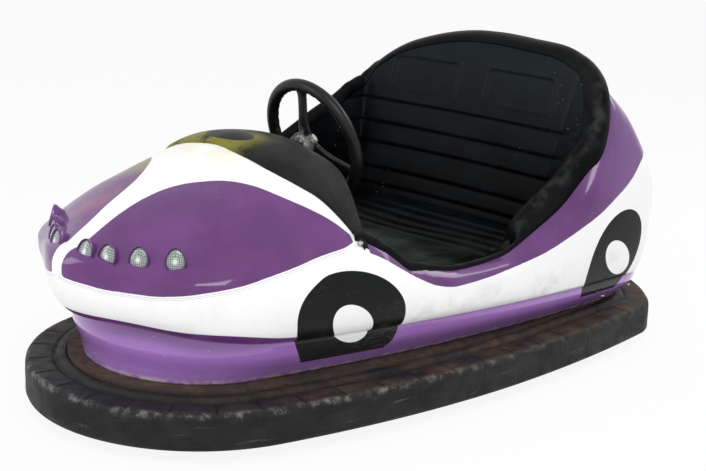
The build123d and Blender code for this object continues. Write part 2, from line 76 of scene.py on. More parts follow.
# ---- plan outlines
class Outline:
    """A closed plan outline of tangent arcs, the same left and right, nose towards -Y.

    A nose arc, a side arc out to the widest point, a rear side arc, a corner and a tail arc.
    The side arc's radius and the corner's centre follow from the sizes given.
    """

    def __init__(self, *millimetres):
        (half_width, widest, nose, nose_radius,
         rear_radius, corner_radius, tail, tail_radius) = thousandths(*millimetres)
        self.nose, self.tail = nose, tail
        nose_y, tail_y = nose + nose_radius, tail - tail_radius
        run = widest - nose_y
        side_radius = ((half_width ** 2 + run ** 2 - nose_radius ** 2)
                       / (2 * (half_width - nose_radius)))
        side_x, rear_x = half_width - side_radius, half_width - rear_radius
        corner_x, corner_y = arc_between(rear_x, widest, rear_radius, 0, tail_y, tail_radius,
                                         corner_radius)
        nose_end = math.atan2(nose_y - widest, -side_x)
        rear_end = math.atan2(corner_y - widest, corner_x - rear_x)
        tail_start = math.atan2(corner_y - tail_y, corner_x)
        # columns: centre x and y, radius, start angle, end angle; nose to tail
        self.arcs = np.array([(0, nose_y, nose_radius, -math.pi / 2, nose_end),
                              (side_x, widest, side_radius, nose_end, 0),
                              (rear_x, widest, rear_radius, 0, rear_end),
                              (corner_x, corner_y, corner_radius, rear_end, tail_start),
                              (0, tail_y, tail_radius, tail_start, math.pi / 2)])

    def at(self, t, inset=0.0):
        """x, y at t, which runs from 0 at the nose to 1 at the tail down the left side and on to 2
        at the nose again: a centre plus the arc's radius, less the inset, at the arc's angle."""
        t = np.asarray(t, float)
        half = np.where(t > 1, 2 - t, t)
        arc = np.clip(np.searchsorted(SHARES, half, side="right") - 1, 0, 4)
        part = (half - SHARES[arc]) / (SHARES[arc + 1] - SHARES[arc])
        x, y, radius, start, end = np.moveaxis(self.arcs[arc], -1, 0)
        angle = start + (end - start) * part
        side = np.where(t > 1, -1.0, 1.0)
        reach = radius - inset
        return side * (x + reach * np.cos(angle)), y + reach * np.sin(angle)

    def half_width(self, y):
        """Distance from the centre line to the outline at y, and 0 beyond its ends."""
        y = np.asarray(y, float)
        width = np.zeros_like(y)
        for x, centre, radius, _, end in self.arcs[::-1]:
            here = y <= centre + radius * math.sin(end) + 1e-9
            across = np.sqrt(np.maximum(radius ** 2 - (y - centre) ** 2, 0))
            width = np.where(here, x + across, width)
        return np.where((y <= self.nose) | (y >= self.tail), 0, width)


# share of the way round at which each of the five arcs starts
SHARES = np.array([0, 0.24, 0.66, 0.78, 0.88, 1.0])

# columns: half width, widest y, nose, nose radius, rear side radius, corner radius, tail, tail
# radius, in millimetres
BUMPER = Outline(518, 157, -950, 430, 4090, 130, 950, 592)
SKIRT_FOOT = Outline(406, 480, -813, 290, 2500, 170, 800, 700)
SKIRT_SILL = Outline(455, 450, -822, 335, 2500, 175, 822, 700)
SKIRT_HEAD = Outline(471, 450, -826, 330, 2500, 180, 838, 700)
SHELL_FOOT = Outline(478, 450, -886, 364, 2500, 180, 845, 700)
SHELL_BELT = Outline(499, 500, -932, 405, 2500, 190, 872, 700)
OPENING = Outline(452, 330, -963, 400, 2500, 85, 530, 1500)
HOOD_END = -0.388            # the cockpit opens behind this


def waist(y):
    """Height of the joint between skirt and upper shell: two straight runs with a rounded knee."""
    knee_y, knee_z, slope, bend, rounding = -0.600, 0.243, 0.0725, 0.0545, 0.060
    return knee_z - slope * (y - knee_y) + bend * np.sqrt((y - knee_y) ** 2 + rounding ** 2)


# ---- upper shell surface
# stations from nose to tail.  columns: y, height where it is widest, crown height, shoulder
# radius, crown radius
STATIONS = thousandths(
    (-932, 395, 412, 30, 500), (-887, 395, 443, 45, 460), (-840, 393, 472, 70, 480),
    (-770, 388, 514, 90, 520), (-680, 370, 554, 100, 540), (-580, 370, 590, 120, 520),
    (-500, 362, 619, 120, 480), (-420, 350, 640, 110, 490), (-330, 330, 630, 90, 515),
    (-265, 318, 598, 80, 530), (-226, 309, 545, 60, 620), (-190, 300, 480, 50, 860),
    (-100, 290, 432, 36, 1200), (50, 295, 440, 40, 1200), (200, 320, 492, 60, 1200),
    (330, 350, 560, 80, 1200), (430, 385, 700, 90, 1150), (500, 410, 833, 130, 850),
    (540, 415, 840, 150, 680), (620, 420, 792, 180, 590), (700, 420, 705, 170, 560),
    (770, 415, 600, 125, 520), (825, 395, 515, 60, 500), (872, 390, 410, 16, 500))
SIDE_RADIUS = 0.800
# where the centre line turns down to the widest line as a quarter ellipse
NOSE_ROUND, TAIL_ROUND = (-0.887, -0.932), (0.825, 0.872)


def smooth_through(x, knots, values):
    """A smooth curve through the knots: cubics whose slope at a knot is the harmonic mean of the
    slopes beside it, and level at a peak, so that it never swings past them."""
    step, slope = np.diff(knots), np.diff(values) / np.diff(knots)
    same = slope[:-1] * slope[1:] > 0
    one, two = 2 * step[1:] + step[:-1], step[1:] + 2 * step[:-1]
    safe = np.where(same, slope[:-1], 1), np.where(same, slope[1:], 1)
    inner = np.where(same, (one + two) / (one / safe[0] + two / safe[1]), 0)
    tangent = np.concatenate([slope[:1], inner, slope[-1:]])
    x = np.clip(x, knots[0], knots[-1])
    i = np.clip(np.searchsorted(knots, x) - 1, 0, len(knots) - 2)
    t, h = (x - knots[i]) / step[i], step[i]
    return ((2 * t ** 3 - 3 * t ** 2 + 1) * values[i] + (t ** 3 - 2 * t ** 2 + t) * h * tangent[i]
            + (3 * t ** 2 - 2 * t ** 3) * values[i + 1] + (t ** 3 - t ** 2) * h * tangent[i + 1])


def station(y, column):
    """One of the stations' columns, carried smoothly along the car."""
    return smooth_through(y, STATIONS[:, 0], STATIONS[:, column])


def belt_height(y):
    """Height of the line along which the upper shell is widest."""
    return station(y, 1)


def crown_height(y):
    """Height of the centre line, rounded down to the widest line at both ends."""
    crown, belt = station(y, 2), belt_height(y)
    for start, end in (NOSE_ROUND, TAIL_ROUND):
        part = np.clip((y - start) / (end - start), 0, 1)
        top = station(np.array([start]), 2)[0]
        crown = np.where(part > 0, belt + (top - belt) * np.sqrt(1 - part ** 2), crown)
    return crown


def body_height(x, y):
    """Height of the upper shell over a plan point.

    Across the car it is a crown arc on the centre line, a shoulder arc and a long side arc that is
    upright at the widest height, each tangent to the next; their sizes flow smoothly along y."""
    x, y = np.abs(np.asarray(x, float)), np.asarray(y, float)
    wide = np.maximum(SHELL_BELT.half_width(y), 0.002)
    belt, crown = belt_height(y), crown_height(y)
    shoulder, radius = station(y, 3), station(y, 4)
    rise = belt - crown + radius
    room = (radius ** 2 - wide ** 2 - rise ** 2) / (2 * (radius - wide))
    shoulder = np.minimum(shoulder, np.maximum(room - 0.0005, 0.001))
    side_x, crown_z = wide - SIDE_RADIUS, crown - radius
    turn_x, turn_z = arc_between(side_x, belt, SIDE_RADIUS, 0, crown_z, radius, shoulder)
    crown_end = turn_x / np.hypot(turn_x, turn_z - crown_z) * radius
    side_end = side_x + SIDE_RADIUS * np.cos(np.arctan2(turn_z - belt, turn_x - side_x))
    over = crown_z + np.sqrt(np.maximum(radius ** 2 - x ** 2, 0))
    bend = turn_z + np.sqrt(np.maximum(shoulder ** 2 - (x - turn_x) ** 2, 0))
    reach = np.minimum(x, wide) - side_x
    side = belt + np.sqrt(np.maximum(SIDE_RADIUS ** 2 - reach ** 2, 0))
    return np.where(x <= crown_end, over, np.where(x <= side_end, bend, side))


def bowed(points):
    """Points of the hood pushed back where it bows in on both sides of the nose's point: a smooth
    hill across the car that fades out along it."""
    depth, half, start, fade = 0.035, 0.38, -0.93, 0.27
    x, y, z = np.moveaxis(points, -1, 0)
    across = np.sin(math.pi * np.clip(np.abs(x) / half, 0, 1)) ** 2
    return stack(x, y + depth * across * (1 - np.clip((y - start) / fade, 0, 1)), z)


# ---- meshes
def grid_object(name, points, wrap=False, closed=False, turned=False, fields=None):
    """A smooth mesh whose vertices are a grid of points: rows follow the first parameter and
    columns the second; wrap joins the last row to the first, and closed the last column to the
    first; turned flips the faces; fields are numbers at the points."""
    rows, columns = points.shape[:2]
    index = np.arange(rows * columns).reshape(rows, columns)
    if wrap:
        index = np.concatenate([index, index[:1]])
    if closed:
        index = np.concatenate([index, index[:, :1]], axis=1)
    faces = np.stack([index[:-1, :-1], index[1:, :-1], index[1:, 1:], index[:-1, 1:]], axis=-1)
    faces = faces.reshape(-1, 4)
    if turned:
        faces = faces[:, ::-1]
    mesh = bpy.data.meshes.new(name)
    mesh.vertices.add(rows * columns)
    mesh.vertices.foreach_set("co", points.reshape(-1).astype(np.float32))
    mesh.loops.add(faces.size)
    mesh.loops.foreach_set("vertex_index", faces.reshape(-1).astype(np.int32))
    mesh.polygons.add(len(faces))
    mesh.polygons.foreach_set("loop_start", np.arange(0, faces.size, 4, dtype=np.int32))
    mesh.polygons.foreach_set("use_smooth", np.ones(len(faces), dtype=bool))
    mesh.update(calc_edges=True)
    mesh.validate()
    for title, values in (fields or {}).items():
        layer = mesh.attributes.new(title, "FLOAT", "POINT")
        values = np.broadcast_to(values, (rows, columns)).reshape(-1)
        layer.data.foreach_set("value", values.astype(np.float32))
    piece = bpy.data.objects.new(name, mesh)
    bpy.context.scene.collection.objects.link(piece)
    return piece


def joined(name, pieces):
    """One object from several meshes, with their attributes."""
    with bpy.context.temp_override(active_object=pieces[0], selected_editable_objects=pieces,
                                   object=pieces[0], selected_objects=pieces):
        bpy.ops.object.join()
    pieces[0].name = name
    pieces[0].data.name = name
    return pieces[0]


def finish_piece(piece, material, body, slot, *nodes, wall=0):
    """Gives a piece its wall, its material and its body, and hides the CAD nodes that it stands
    for; the slot is not used."""
    if wall:
        solidify = piece.modifiers.new("wall", "SOLIDIFY")
        solidify.thickness, solidify.offset = wall, -1
        solidify.use_even_offset = False
    piece.data.materials.clear()
    piece.data.materials.append(material)
    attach(piece, body)
    if nodes:
        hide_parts(*nodes)


def through(points, count):
    """Points evenly spread along a smooth curve through the given ones."""
    points = np.asarray(points, float)
    run = np.concatenate([[0], np.cumsum(np.linalg.norm(np.diff(points, axis=0), axis=1))])
    at = np.linspace(0, run[-1], count)
    return np.stack([smooth_through(at, run, column) for column in points.T], axis=-1)


def edge_distance(u, v, corners):
    """Distance of each (u, v) from the edge of a closed polygon, positive inside it and negative
    outside: the shortest distance to its sides, signed by how many of them a level ray crosses."""
    (au, av), (bu, bv) = corners.T, np.roll(corners, -1, axis=0).T
    p, q = np.reshape(u, (-1, 1)), np.reshape(v, (-1, 1))
    eu, ev = bu - au, bv - av
    part = np.clip(((p - au) * eu + (q - av) * ev) / (eu ** 2 + ev ** 2 + 1e-15), 0, 1)
    near = np.hypot(p - au - part * eu, q - av - part * ev).min(axis=1)
    lift = np.where(ev == 0, 1e-15, ev)
    crossed = ((av > q) != (bv > q)) & (p < eu * (q - av) / lift + au)
    return np.where(crossed.sum(axis=1) % 2 == 1, near, -near).reshape(np.shape(u))


def even_steps(outline, count, low=0.0, high=2.0):
    """A column of values of t between low and high at which points of an outline are evenly far
    apart, and the whole distance."""
    t = np.linspace(low, high, 6001)
    x, y = outline.at(t)
    run = np.concatenate([[0], np.cumsum(np.hypot(np.diff(x), np.diff(y)))])
    closed = high - low == 2
    at = np.linspace(0, run[-1], count, endpoint=not closed)
    return np.interp(at, run, t)[:, None], run[-1]


def hill(x, middle, half):
    """A smooth rise and fall, 1 in the middle and 0 beyond half on either side."""
    return np.where(np.abs(x - middle) < half, np.cos((x - middle) / half * math.pi / 2) ** 2, 0)


def ease(x, low, high):
    """0 below low, 1 above high and a smooth step between them."""
    part = np.clip((x - low) / (high - low), 0, 1)
    return part * part * (3 - 2 * part)


# ---- paint edges
# lower edge of the purple drop on the hood: t round the outline, height
DROP_LOWER = thousandths((0, 385), (8, 380), (32, 373), (57, 366), (95, 367), (134, 376),
                         (169, 389), (193, 398), (216, 411), (244, 424), (272, 437), (294, 445),
                         (330, 470))
# upper edge of the drop, over the hood from the nose to its rear point: x, y
DROP_UPPER = thousandths((19, -945), (20, -925), (24, -896), (26, -867), (28, -822), (33, -783),
                         (40, -737), (53, -691), (75, -650), (104, -614), (138, -579),
                         (193, -540), (248, -506), (288, -477), (323, -449), (355, -419),
                         (375, -400))
# lower edge of the purple round the cockpit: y, height
BAND_LOWER = thousandths((-460, 640), (-401, 446), (-346, 416), (-280, 376), (-236, 350),
                         (-185, 327), (-125, 316), (-56, 319), (45, 329), (172, 351), (310, 392),
                         (395, 423), (453, 453), (531, 500), (602, 564), (700, 615), (900, 645))
# painted wheels.  columns: middle y and z, half length, height above, depth below, how far they
# lean, height of their cut foot
PAINTED_WHEELS = thousandths((-424, 290, 144, 110, 190, -300, 170),
                             (489, 298, 113, 122, 150, 200, 186))
# their hubs: the middle, and two half axes that lean with the body's side, each as y, z
PAINTED_HUBS = thousandths(((-416, 266), (57.5, -11), (-18.5, 54.5)),
                           ((503, 286), (60, -11), (-19, 52.5)))
BAND_START, LIP_END = -0.372, -0.50     # places along the car


def paint_fields(x, y, z, t):
    """Distances from the paint's edges: the hood's drops, the band round the cockpit, and the
    purple lip along the shell's foot under the nose."""
    ahead, aside, rear = -1.20, 0.70, -0.421     # the drop's area is closed off past the car
    half = np.where(t > 1, 2 - t, t) + 0 * x
    around = np.concatenate([through(DROP_UPPER, 90),
                             [(aside, rear), (aside, ahead), (DROP_UPPER[0, 0], ahead)]])
    over = edge_distance(np.abs(x), y, around)
    under = z - smooth_through(half, *DROP_LOWER.T)
    band = (z - smooth_through(y, *BAND_LOWER.T)) * 0.8
    lip = z - waist(y) - 0.013 - 0.010 * hill(y, -0.70, 0.16)
    return {"drop": np.minimum(over, under), "band": np.where(y < BAND_START, -0.1, band),
            "drop_edge": under, "lip": np.where(y < LIP_END, lip, 0.1)}


# ---- upper shell
HALF_WAY = np.linspace(0, 1, 2001)
OPENING_T = np.interp(HOOD_END, OPENING.at(HALF_WAY)[1], HALF_WAY)
HEM_INSET = 0.016            # the shell ends this far inside the cockpit's edge
UNDERCUT = math.radians(66)  # how far the side turns under, from the widest line to the joint


def opening_at(t, inset=0.0):
    """The cockpit's edge in plan: its outline, drawn in towards the hood's rear corners."""
    most, start, run = 0.036, -0.25, 0.13
    front = np.clip((start - OPENING.at(t)[1]) / run, 0, 1)
    return OPENING.at(t, inset + most * front ** 1.5)


def shell_points(columns=480, under=14, over=58):
    """The upper shell.  The first parameter runs round the car; the second climbs the undercut
    from the joint to the widest line, as a circle's arc, then runs straight in plan to the hood's
    rear edge or the cockpit's hem, on the height surface, with rows closest at the widest line."""
    t = even_steps(SHELL_BELT, columns)[0]
    foot_x, foot_y = SHELL_FOOT.at(t)
    belt_x, belt_y = SHELL_BELT.at(t)
    belt, low = belt_height(belt_y), waist(foot_y)
    turn = np.radians(np.linspace(math.degrees(UNDERCUT), 0, under))[None, :]
    out = (np.cos(turn) - math.cos(UNDERCUT)) / (1 - math.cos(UNDERCUT))
    lower = stack(foot_x + (belt_x - foot_x) * out, foot_y + (belt_y - foot_y) * out,
                  belt - (belt - low) * np.sin(turn) / math.sin(UNDERCUT))
    half, side = np.where(t > 1, 2 - t, t), np.where(t > 1, -1, 1)
    corner_x, corner_y = opening_at(OPENING_T, HEM_INSET)
    start = np.interp(corner_y - 0.02, SHELL_BELT.at(HALF_WAY)[1], HALF_WAY)
    past = np.clip((half - start) / (1 - start), 0, 1)
    hem_x, hem_y = opening_at(OPENING_T + (1 - OPENING_T) * past, HEM_INSET)
    end_x = side * np.where(half < start, corner_x * half / start, hem_x)
    end_y = np.where(half < start, corner_y, hem_y)
    part = np.linspace(0, 1, over)[None, 1:] ** 2
    x, y = belt_x + (end_x - belt_x) * part, belt_y + (end_y - belt_y) * part
    upper = stack(x, y, np.maximum(body_height(x, y), belt))
    return np.concatenate([lower, upper], axis=1), t


def make_shell(sizes, paint):
    """The shell's surface with the paint's edges, bowed at the hood."""
    points, t = shell_points()
    fields = paint_fields(*np.moveaxis(points, -1, 0), t)
    piece = grid_object("shell", bowed(points), wrap=True, fields=fields)
    finish_piece(piece, body_finish("shell_finish", paint), "car", "shell_gelcoat", "upper_shell",
                 wall=PANEL_WALL)


# ---- skirt
SKIRT_LOW = 0.1335           # height of the skirt's foot


def skirt_points(columns=420, rows=34):
    """The skirt.  A profile carried round the car: tucked in under the shell, flush with it along
    the sides and set back under the nose, swelling a little, then turning in to the foot."""
    t = even_steps(SKIRT_HEAD, columns)[0]
    head_x, head_y = SKIRT_HEAD.at(t)
    lip_x, lip_y = SHELL_FOOT.at(t, 0.002)
    flush = ease(head_y, -0.74, -0.56)
    top_x = head_x + (lip_x - head_x) * flush
    top_y = head_y + (lip_y - head_y) * flush
    sill_x, sill_y = SKIRT_SILL.at(t)
    foot_x, foot_y = SKIRT_FOOT.at(t)
    high = waist(lip_y) + 0.004
    v = np.linspace(0, 1, rows)[None, :]
    first, second, third = (1 - v) ** 2, 2 * v * (1 - v), v ** 2
    x = first * top_x + second * sill_x + third * foot_x
    y = first * top_y + second * sill_y + third * foot_y
    swell = 1 + 0.016 * hill(v, 0.42, 0.42) - 0.012 * (1 - ease(v, 0, 0.12))
    return stack(x * swell, y * swell, high - (high - SKIRT_LOW) * v)


def make_skirt(sizes, paint):
    """The skirt's surface with its wall."""
    piece = grid_object("skirt_panel", skirt_points(), wrap=True, turned=True)
    finish_piece(piece, skirt_finish(paint), "car", "skirt_gelcoat", "skirt", wall=PANEL_WALL)


# ---- bumper
# profile of the rubber, from the outer foot up and over and back underneath: inset, height
BUMPER_PROFILE = thousandths((10, 30.5), (3, 33), (0, 40), (0.5, 60), (0, 85), (0.5, 103),
                             (2, 111), (6, 116.5), (12, 118.5), (20, 119), (40, 118.5), (58, 118),
                             (64, 116.5), (67, 112.5), (71, 112.5), (74, 118), (77, 125),
                             (81, 127), (94, 127), (99, 125), (100, 110), (100, 60), (100, 34),
                             (94, 30.5), (50, 30))


def make_bumper(sizes, paint):
    """The rubber: its profile carried round the outline, with short cuts across the top edge that
    are evenly spaced, and a slow unevenness of the edge."""
    columns, top_z = 1500, 0.1185
    t, length = even_steps(BUMPER, columns)
    run = np.linspace(0, length, columns, endpoint=False)[:, None]
    inset, z = BUMPER_PROFILE.T[:, None, :]
    spacing = length / round(length / sizes.notch_spacing)
    away = np.abs((run + spacing / 2) % spacing - spacing / 2)
    top = hill(z, top_z, 0.012) * ease(0.066 - inset, 0, 0.02)
    cut = 0.0030 * np.clip(1 - away / 0.0045, 0, 1) * top
    wave = 0.0012 * np.sin(run * 5.1) + 0.0008 * np.sin(run * 13.3 + 1)
    edge = hill(inset, 0.0, 0.06) * ease(z, 0.06, 0.11)
    x, y = BUMPER.at(t, inset + cut * (inset < 0.01) + (0.0012 + wave) * edge * 0.6)
    piece = grid_object("bumper_rubber", stack(x, y, z - cut), wrap=True, closed=True, turned=True,
                        fields={"notch": away, "inset": inset})
    finish_piece(piece, rubber_finish(paint), "car", "bumper_rubber", "bumper_ring")


# ---- cockpit rim
SEAT_STEP_Y = 0.130          # the wide seat flange starts here, behind the thin front edge
RIM_INSET = 0.008            # the rim's crest is measured this far inside the cockpit's edge
RIM_HEIGHT = 0.017           # the rim height at which the crest's table holds
# how far inside the opening's outline the rim starts: t round the opening, distance
RIM_START = thousandths((330, -4), (500, -3), (580, 4), (663, 6), (764, -8), (800, -22),
                        (850, -28), (900, -16), (950, 0), (1000, 6), (1300, 8), (1670, 0))
# height of the rim's crest over the shell: t round the opening, height; left side, then right side
RIM_CREST = thousandths((330, 12), (560, 12), (583, 52), (620, 66), (663, 70), (764, 60),
                        (800, 58), (825, 64), (852, 80), (879, 84), (897, 68), (915, 52),
                        (933, 38), (951, 26), (978, 16), (1000, 12), (1076, 11), (1121, 17),
                        (1148, 37), (1175, 64), (1202, 91), (1236, 120), (1287, 148), (1337, 166),
                        (1390, 170), (1430, 165), (1500, 130), (1560, 85), (1620, 40), (1670, 14))


def rim_sizes(t, y):
    """Width of the rim's roll, and the heights of its crest and its inner edge over the shell.

    On the left it is thin beside the low step-in and a broad roll behind it; on the right it
    stands up as a high side; round the back it is a broad hoop."""
    crest = smooth_through(t, *RIM_CREST.T)
    wide = np.where(t > 1, ease(y, -0.30, 0.0), ease(y, SEAT_STEP_Y - 0.008, SEAT_STEP_Y + 0.012))
    back = ease(y, 0.40, 0.53)
    corner = hill(t, 0.83, 0.13)
    width = 0.006 + 0.044 * wide + 0.012 * back - 0.016 * corner
    return width, crest, crest - 0.020 - 0.012 * back


def cockpit_steps(columns):
    """Values of t evenly spaced round the cockpit, from its front left corner to its right one."""
    corner = OPENING_T - 0.004
    return even_steps(OPENING, columns, corner, 2 - corner)[0]


def make_rim(sizes, paint):
    """The rim: a cubic curve from the opening's outline, up over a crest, and down inwards to the
    tub, carried round the cockpit; its width and height change where the seat's flange starts."""
    t = cockpit_steps(420)
    x, y = opening_at(t, RIM_INSET)
    start = smooth_through(t, *RIM_START.T)
    low = body_height(*opening_at(t, start))
    lift = body_height(x, y) - low
    width, crest, inner = rim_sizes(t, y)
    crest, inner = crest * sizes.rim_height / RIM_HEIGHT + lift, inner + lift
    v = np.linspace(0, 1, 26)[None, :]
    second, third = (1 - v) ** 2 * v, (1 - v) * v ** 2
    inset = start + (width + RIM_INSET - start) * (0.12 * second + 2.70 * third + v ** 3)
    z = low - 0.002 + crest * (4.26 * second + 3.45 * third) + v ** 3 * inner
    piece = grid_object("cockpit_rim", stack(*opening_at(t, inset), z), fields={"across": v})
    finish_piece(piece, rim_finish(paint), "car", "rim_plastic", "rim_band", wall=LINING_WALL)


# ---- cowl
# edges of the cowl, on the left: x, y
COWL_FRONT = thousandths((0, -490), (30, -491), (64, -493), (151, -486), (198, -475), (257, -451),
                         (297, -428), (360, -399), (404, -380))
COWL_REAR = thousandths((0, -270), (100, -273), (200, -290), (300, -335), (360, -362),
                        (404, -376))


def make_cowl(sizes, paint):
    """The cowl: a skin a little above the hood's surface between two edge curves; it dips at its
    front edge and rolls down behind its rear edge as a quarter circle."""
    end = COWL_FRONT[-1, 0]
    x = np.linspace(-end, end, 181)[:, None]
    front = smooth_through(np.abs(x), *COWL_FRONT.T)
    rear = np.maximum(smooth_through(np.abs(x), *COWL_REAR.T), front + 0.003)
    v = np.linspace(0, 1, 40)[None, :]
    y = front + (rear - front) * v
    skin = body_height(x, y) + 0.0065 * ease(v, -0.02, 0.05)
    roll = np.linspace(0, math.pi / 2, 8)[None, 1:]
    drop = stack(x, rear + 0.012 * np.sin(roll), skin[:, -1:] - 0.014 * (1 - np.cos(roll)))
    hang = stack(x, rear + 0.012, skin[:, -1:] - 0.034)
    piece = grid_object("dash_cowl", np.concatenate([stack(x, y, skin), drop, hang], axis=1))
    finish_piece(piece, cowl_finish(paint), "car", "cowl_plastic", "cowl", wall=LINING_WALL)


# ---- seat and tub
PAN_HEIGHT = 0.344
PAN_REAR = 0.338
BACK_SLOPE = 0.295           # how far the seat back leans, per metre of height
BACK_GROOVES = (0.612, 0.546, 0.488, 0.416, 0.370)
PAN_GROOVES = (0.060, 0.115, 0.170, 0.225, 0.280)
TUB_LOW = 0.130
TUB_NARROWING = 0.80         # width of the tub's foot, as a share of its top


def groove(x, middle, half, depth):
    """A bell-shaped groove across x."""
    return depth * np.exp(-((x - middle) / half) ** 2)


def groove_relief(z):
    """Depth of the level grooves in the seat's back, with slightly swelling pads between them."""
    lines = sum(groove(z, g, 0.0052, 0.0085) for g in BACK_GROOVES)
    pads = np.abs(np.sin((z - PAN_HEIGHT) / 0.066 * math.pi))
    return lines - 0.0018 * pads * ease(0.63 - z, 0, 0.03)


def panel_relief(x, z):
    """Depth of the two shallow rounded panels near the top of the seat's back, each with a thin
    raised edge; their outer ends lean."""
    middle_x, middle_z, half_x, half_z, lean, round_off = 0.175, 0.705, 0.105, 0.030, 0.10, 0.012
    x = np.abs(x)
    u = np.abs(x - middle_x - lean * (0.765 - z) * (x > middle_x)) - half_x
    w = np.abs(z - middle_z) - half_z
    beyond = np.hypot(np.maximum(u, 0), np.maximum(w, 0)) + np.minimum(np.maximum(u, w), 0)
    beyond = beyond - round_off
    return 0.004 * (1 - ease(beyond, -0.004, 0.004)) - groove(beyond, 0.007, 0.004, 0.002)


def tub_points(columns=340, rows=170):
    """The tub's walls and the seat's back in one sheet.  The first parameter runs round the
    cockpit; the second runs straight down from the rim's inner edge to a smaller outline at the
    deck.  The grooves push the sheet outwards, and the panels push it back."""
    t = cockpit_steps(columns)
    x, y = opening_at(t, RIM_INSET)
    width, _, inner = rim_sizes(t, y)
    top_x, top_y = opening_at(t, width + 0.005)
    top_z = body_height(x, y) + inner
    low_y = np.minimum(top_y, 0.330 + BACK_SLOPE * (TUB_LOW - PAN_HEIGHT))
    low_y = np.where(top_y > 0.2, low_y - 0.02 * (np.abs(top_x) / 0.40) ** 4,
                     np.minimum(top_y, low_y - 0.02))
    further_in = opening_at(t, 0.028)
    out_x, out_y = x - further_in[0], y - further_in[1]
    size = np.hypot(out_x, out_y)
    v = np.linspace(0, 1, rows)[None, :]
    x = top_x + (top_x * TUB_NARROWING - top_x) * v
    y, z = top_y + (low_y - top_y) * v, top_z + (TUB_LOW - top_z) * v
    facing = ease(top_y, 0.36, 0.43)
    push = groove_relief(z) * ease(top_y, 0.24, 0.32)
    bow = 0.006 * np.sin(math.pi * v) * (1 - facing)
    return stack(x - np.sign(x) * bow + push * out_x / size,
                 y + push * out_y / size + panel_relief(x, z) * facing, z)


def make_seat(sizes, paint):
    """The tub's sheet, and the seat's pan: a level cushion with grooves across, reaching the rim
    at its sides, and rounded down at its front to the riser, which stands further forward beside
    the legs."""
    across = np.linspace(-1, 1, 190)[:, None]
    aside = np.abs(across)
    run = 0.80 * np.linspace(0, 1, 170)[None, :]
    bend, radius = 0.075, 0.048
    flat = 0.375 + 0.140 * ease(aside * 0.43, 0.08, 0.31)
    turn = np.clip((run - flat) / bend, 0, 1) * math.pi / 2
    y = PAN_REAR - np.minimum(run, flat) - radius * np.sin(turn)
    z = PAN_HEIGHT - radius * (1 - np.cos(turn)) - np.maximum(run - flat - bend, 0)
    lines = sum(groove(y, g, 0.0055, 0.0075) for g in PAN_GROOVES) * (z > PAN_HEIGHT - 0.02)
    puff = 0.003 * np.abs(np.sin((y - 0.005) / 0.055 * math.pi)) * ease(y, 0.02, 0.06)
    half = (0.437 - 0.030 * ease(y, 0.09, 0.15) - 0.035 * ease(y, 0.20, PAN_REAR)
            - 0.10 * ease(0.30 - z, 0, 0.17))
    edge = np.where(y < 0.12, body_height(0.445, y) - 0.002 - PAN_HEIGHT, 0.035)
    sides = edge * ease(aside, 0.86, 1.0)
    hollow = 0.010 * hill(across, 0, 0.75) * hill(y, 0.15, 0.16)
    reach = 1 - ease(aside, 0.86, 0.93)
    z = np.maximum(z + (sides - hollow) * (run < flat + bend) + (puff - lines) * reach, TUB_LOW)
    tub = grid_object("seat_tub", tub_points())
    pan = grid_object("seat_pan", stack(across * half, y, z), turned=True)
    finish_piece(tub, seat_finish("seat_tub_finish", paint, 0.25), "car", "tub_plastic",
                 "tub_liner", "seat_back", wall=LINING_WALL)
    finish_piece(pan, seat_finish("seat_pan_finish", paint, 0.9), "car", "seat_plastic",
                 "seat_cushion", "seat_riser", wall=LINING_WALL)


# ---- lamps
# lamps on one side: x, y and height of the glass's middle in millimetres, and how far it looks
# aside in degrees
LAMPS_PLACED = ((58, -899, 437, 10), (108, -887, 434, 18), (170, -856, 435, 28),
                (242, -803, 440, 39))
LAMP_TILT = math.radians(14)
LAMP_TIP = 0.30              # how far the top of a lamp is drawn out, as a share of its radius
LAMP_STANDS_OUT = 0.003


def lamp_frame(side, x, y, z, degrees):
    """Middle of a lamp's lens, and its directions across, forwards and up."""
    a = math.radians(degrees)
    out = np.array([side * math.sin(a), -math.cos(a), 0])
    front = out * math.cos(LAMP_TILT) + [0, 0, math.sin(LAMP_TILT)]
    up = -out * math.sin(LAMP_TILT) + [0, 0, math.cos(LAMP_TILT)]
    middle = bowed(thousandths(side * x, y, z)) + out * LAMP_STANDS_OUT
    return middle, np.cross(front, up), front, up


def ring_points(middle, across, front, up, radii, forward, steps=48, point=0.0, rise=0.0):
    """Circles of the given radii stacked along the front direction; point draws the top of each
    out to a tip, and rise lifts each circle."""
    a = np.linspace(0, CIRCLE, steps, endpoint=False)[:, None]
    reach = radii * (1 + point * np.maximum(np.cos(a), 0) ** 5)
    return (middle + (reach * np.sin(a))[..., None] * across
            + (reach * np.cos(a) + rise)[..., None] * up + (forward + 0 * a)[..., None] * front)


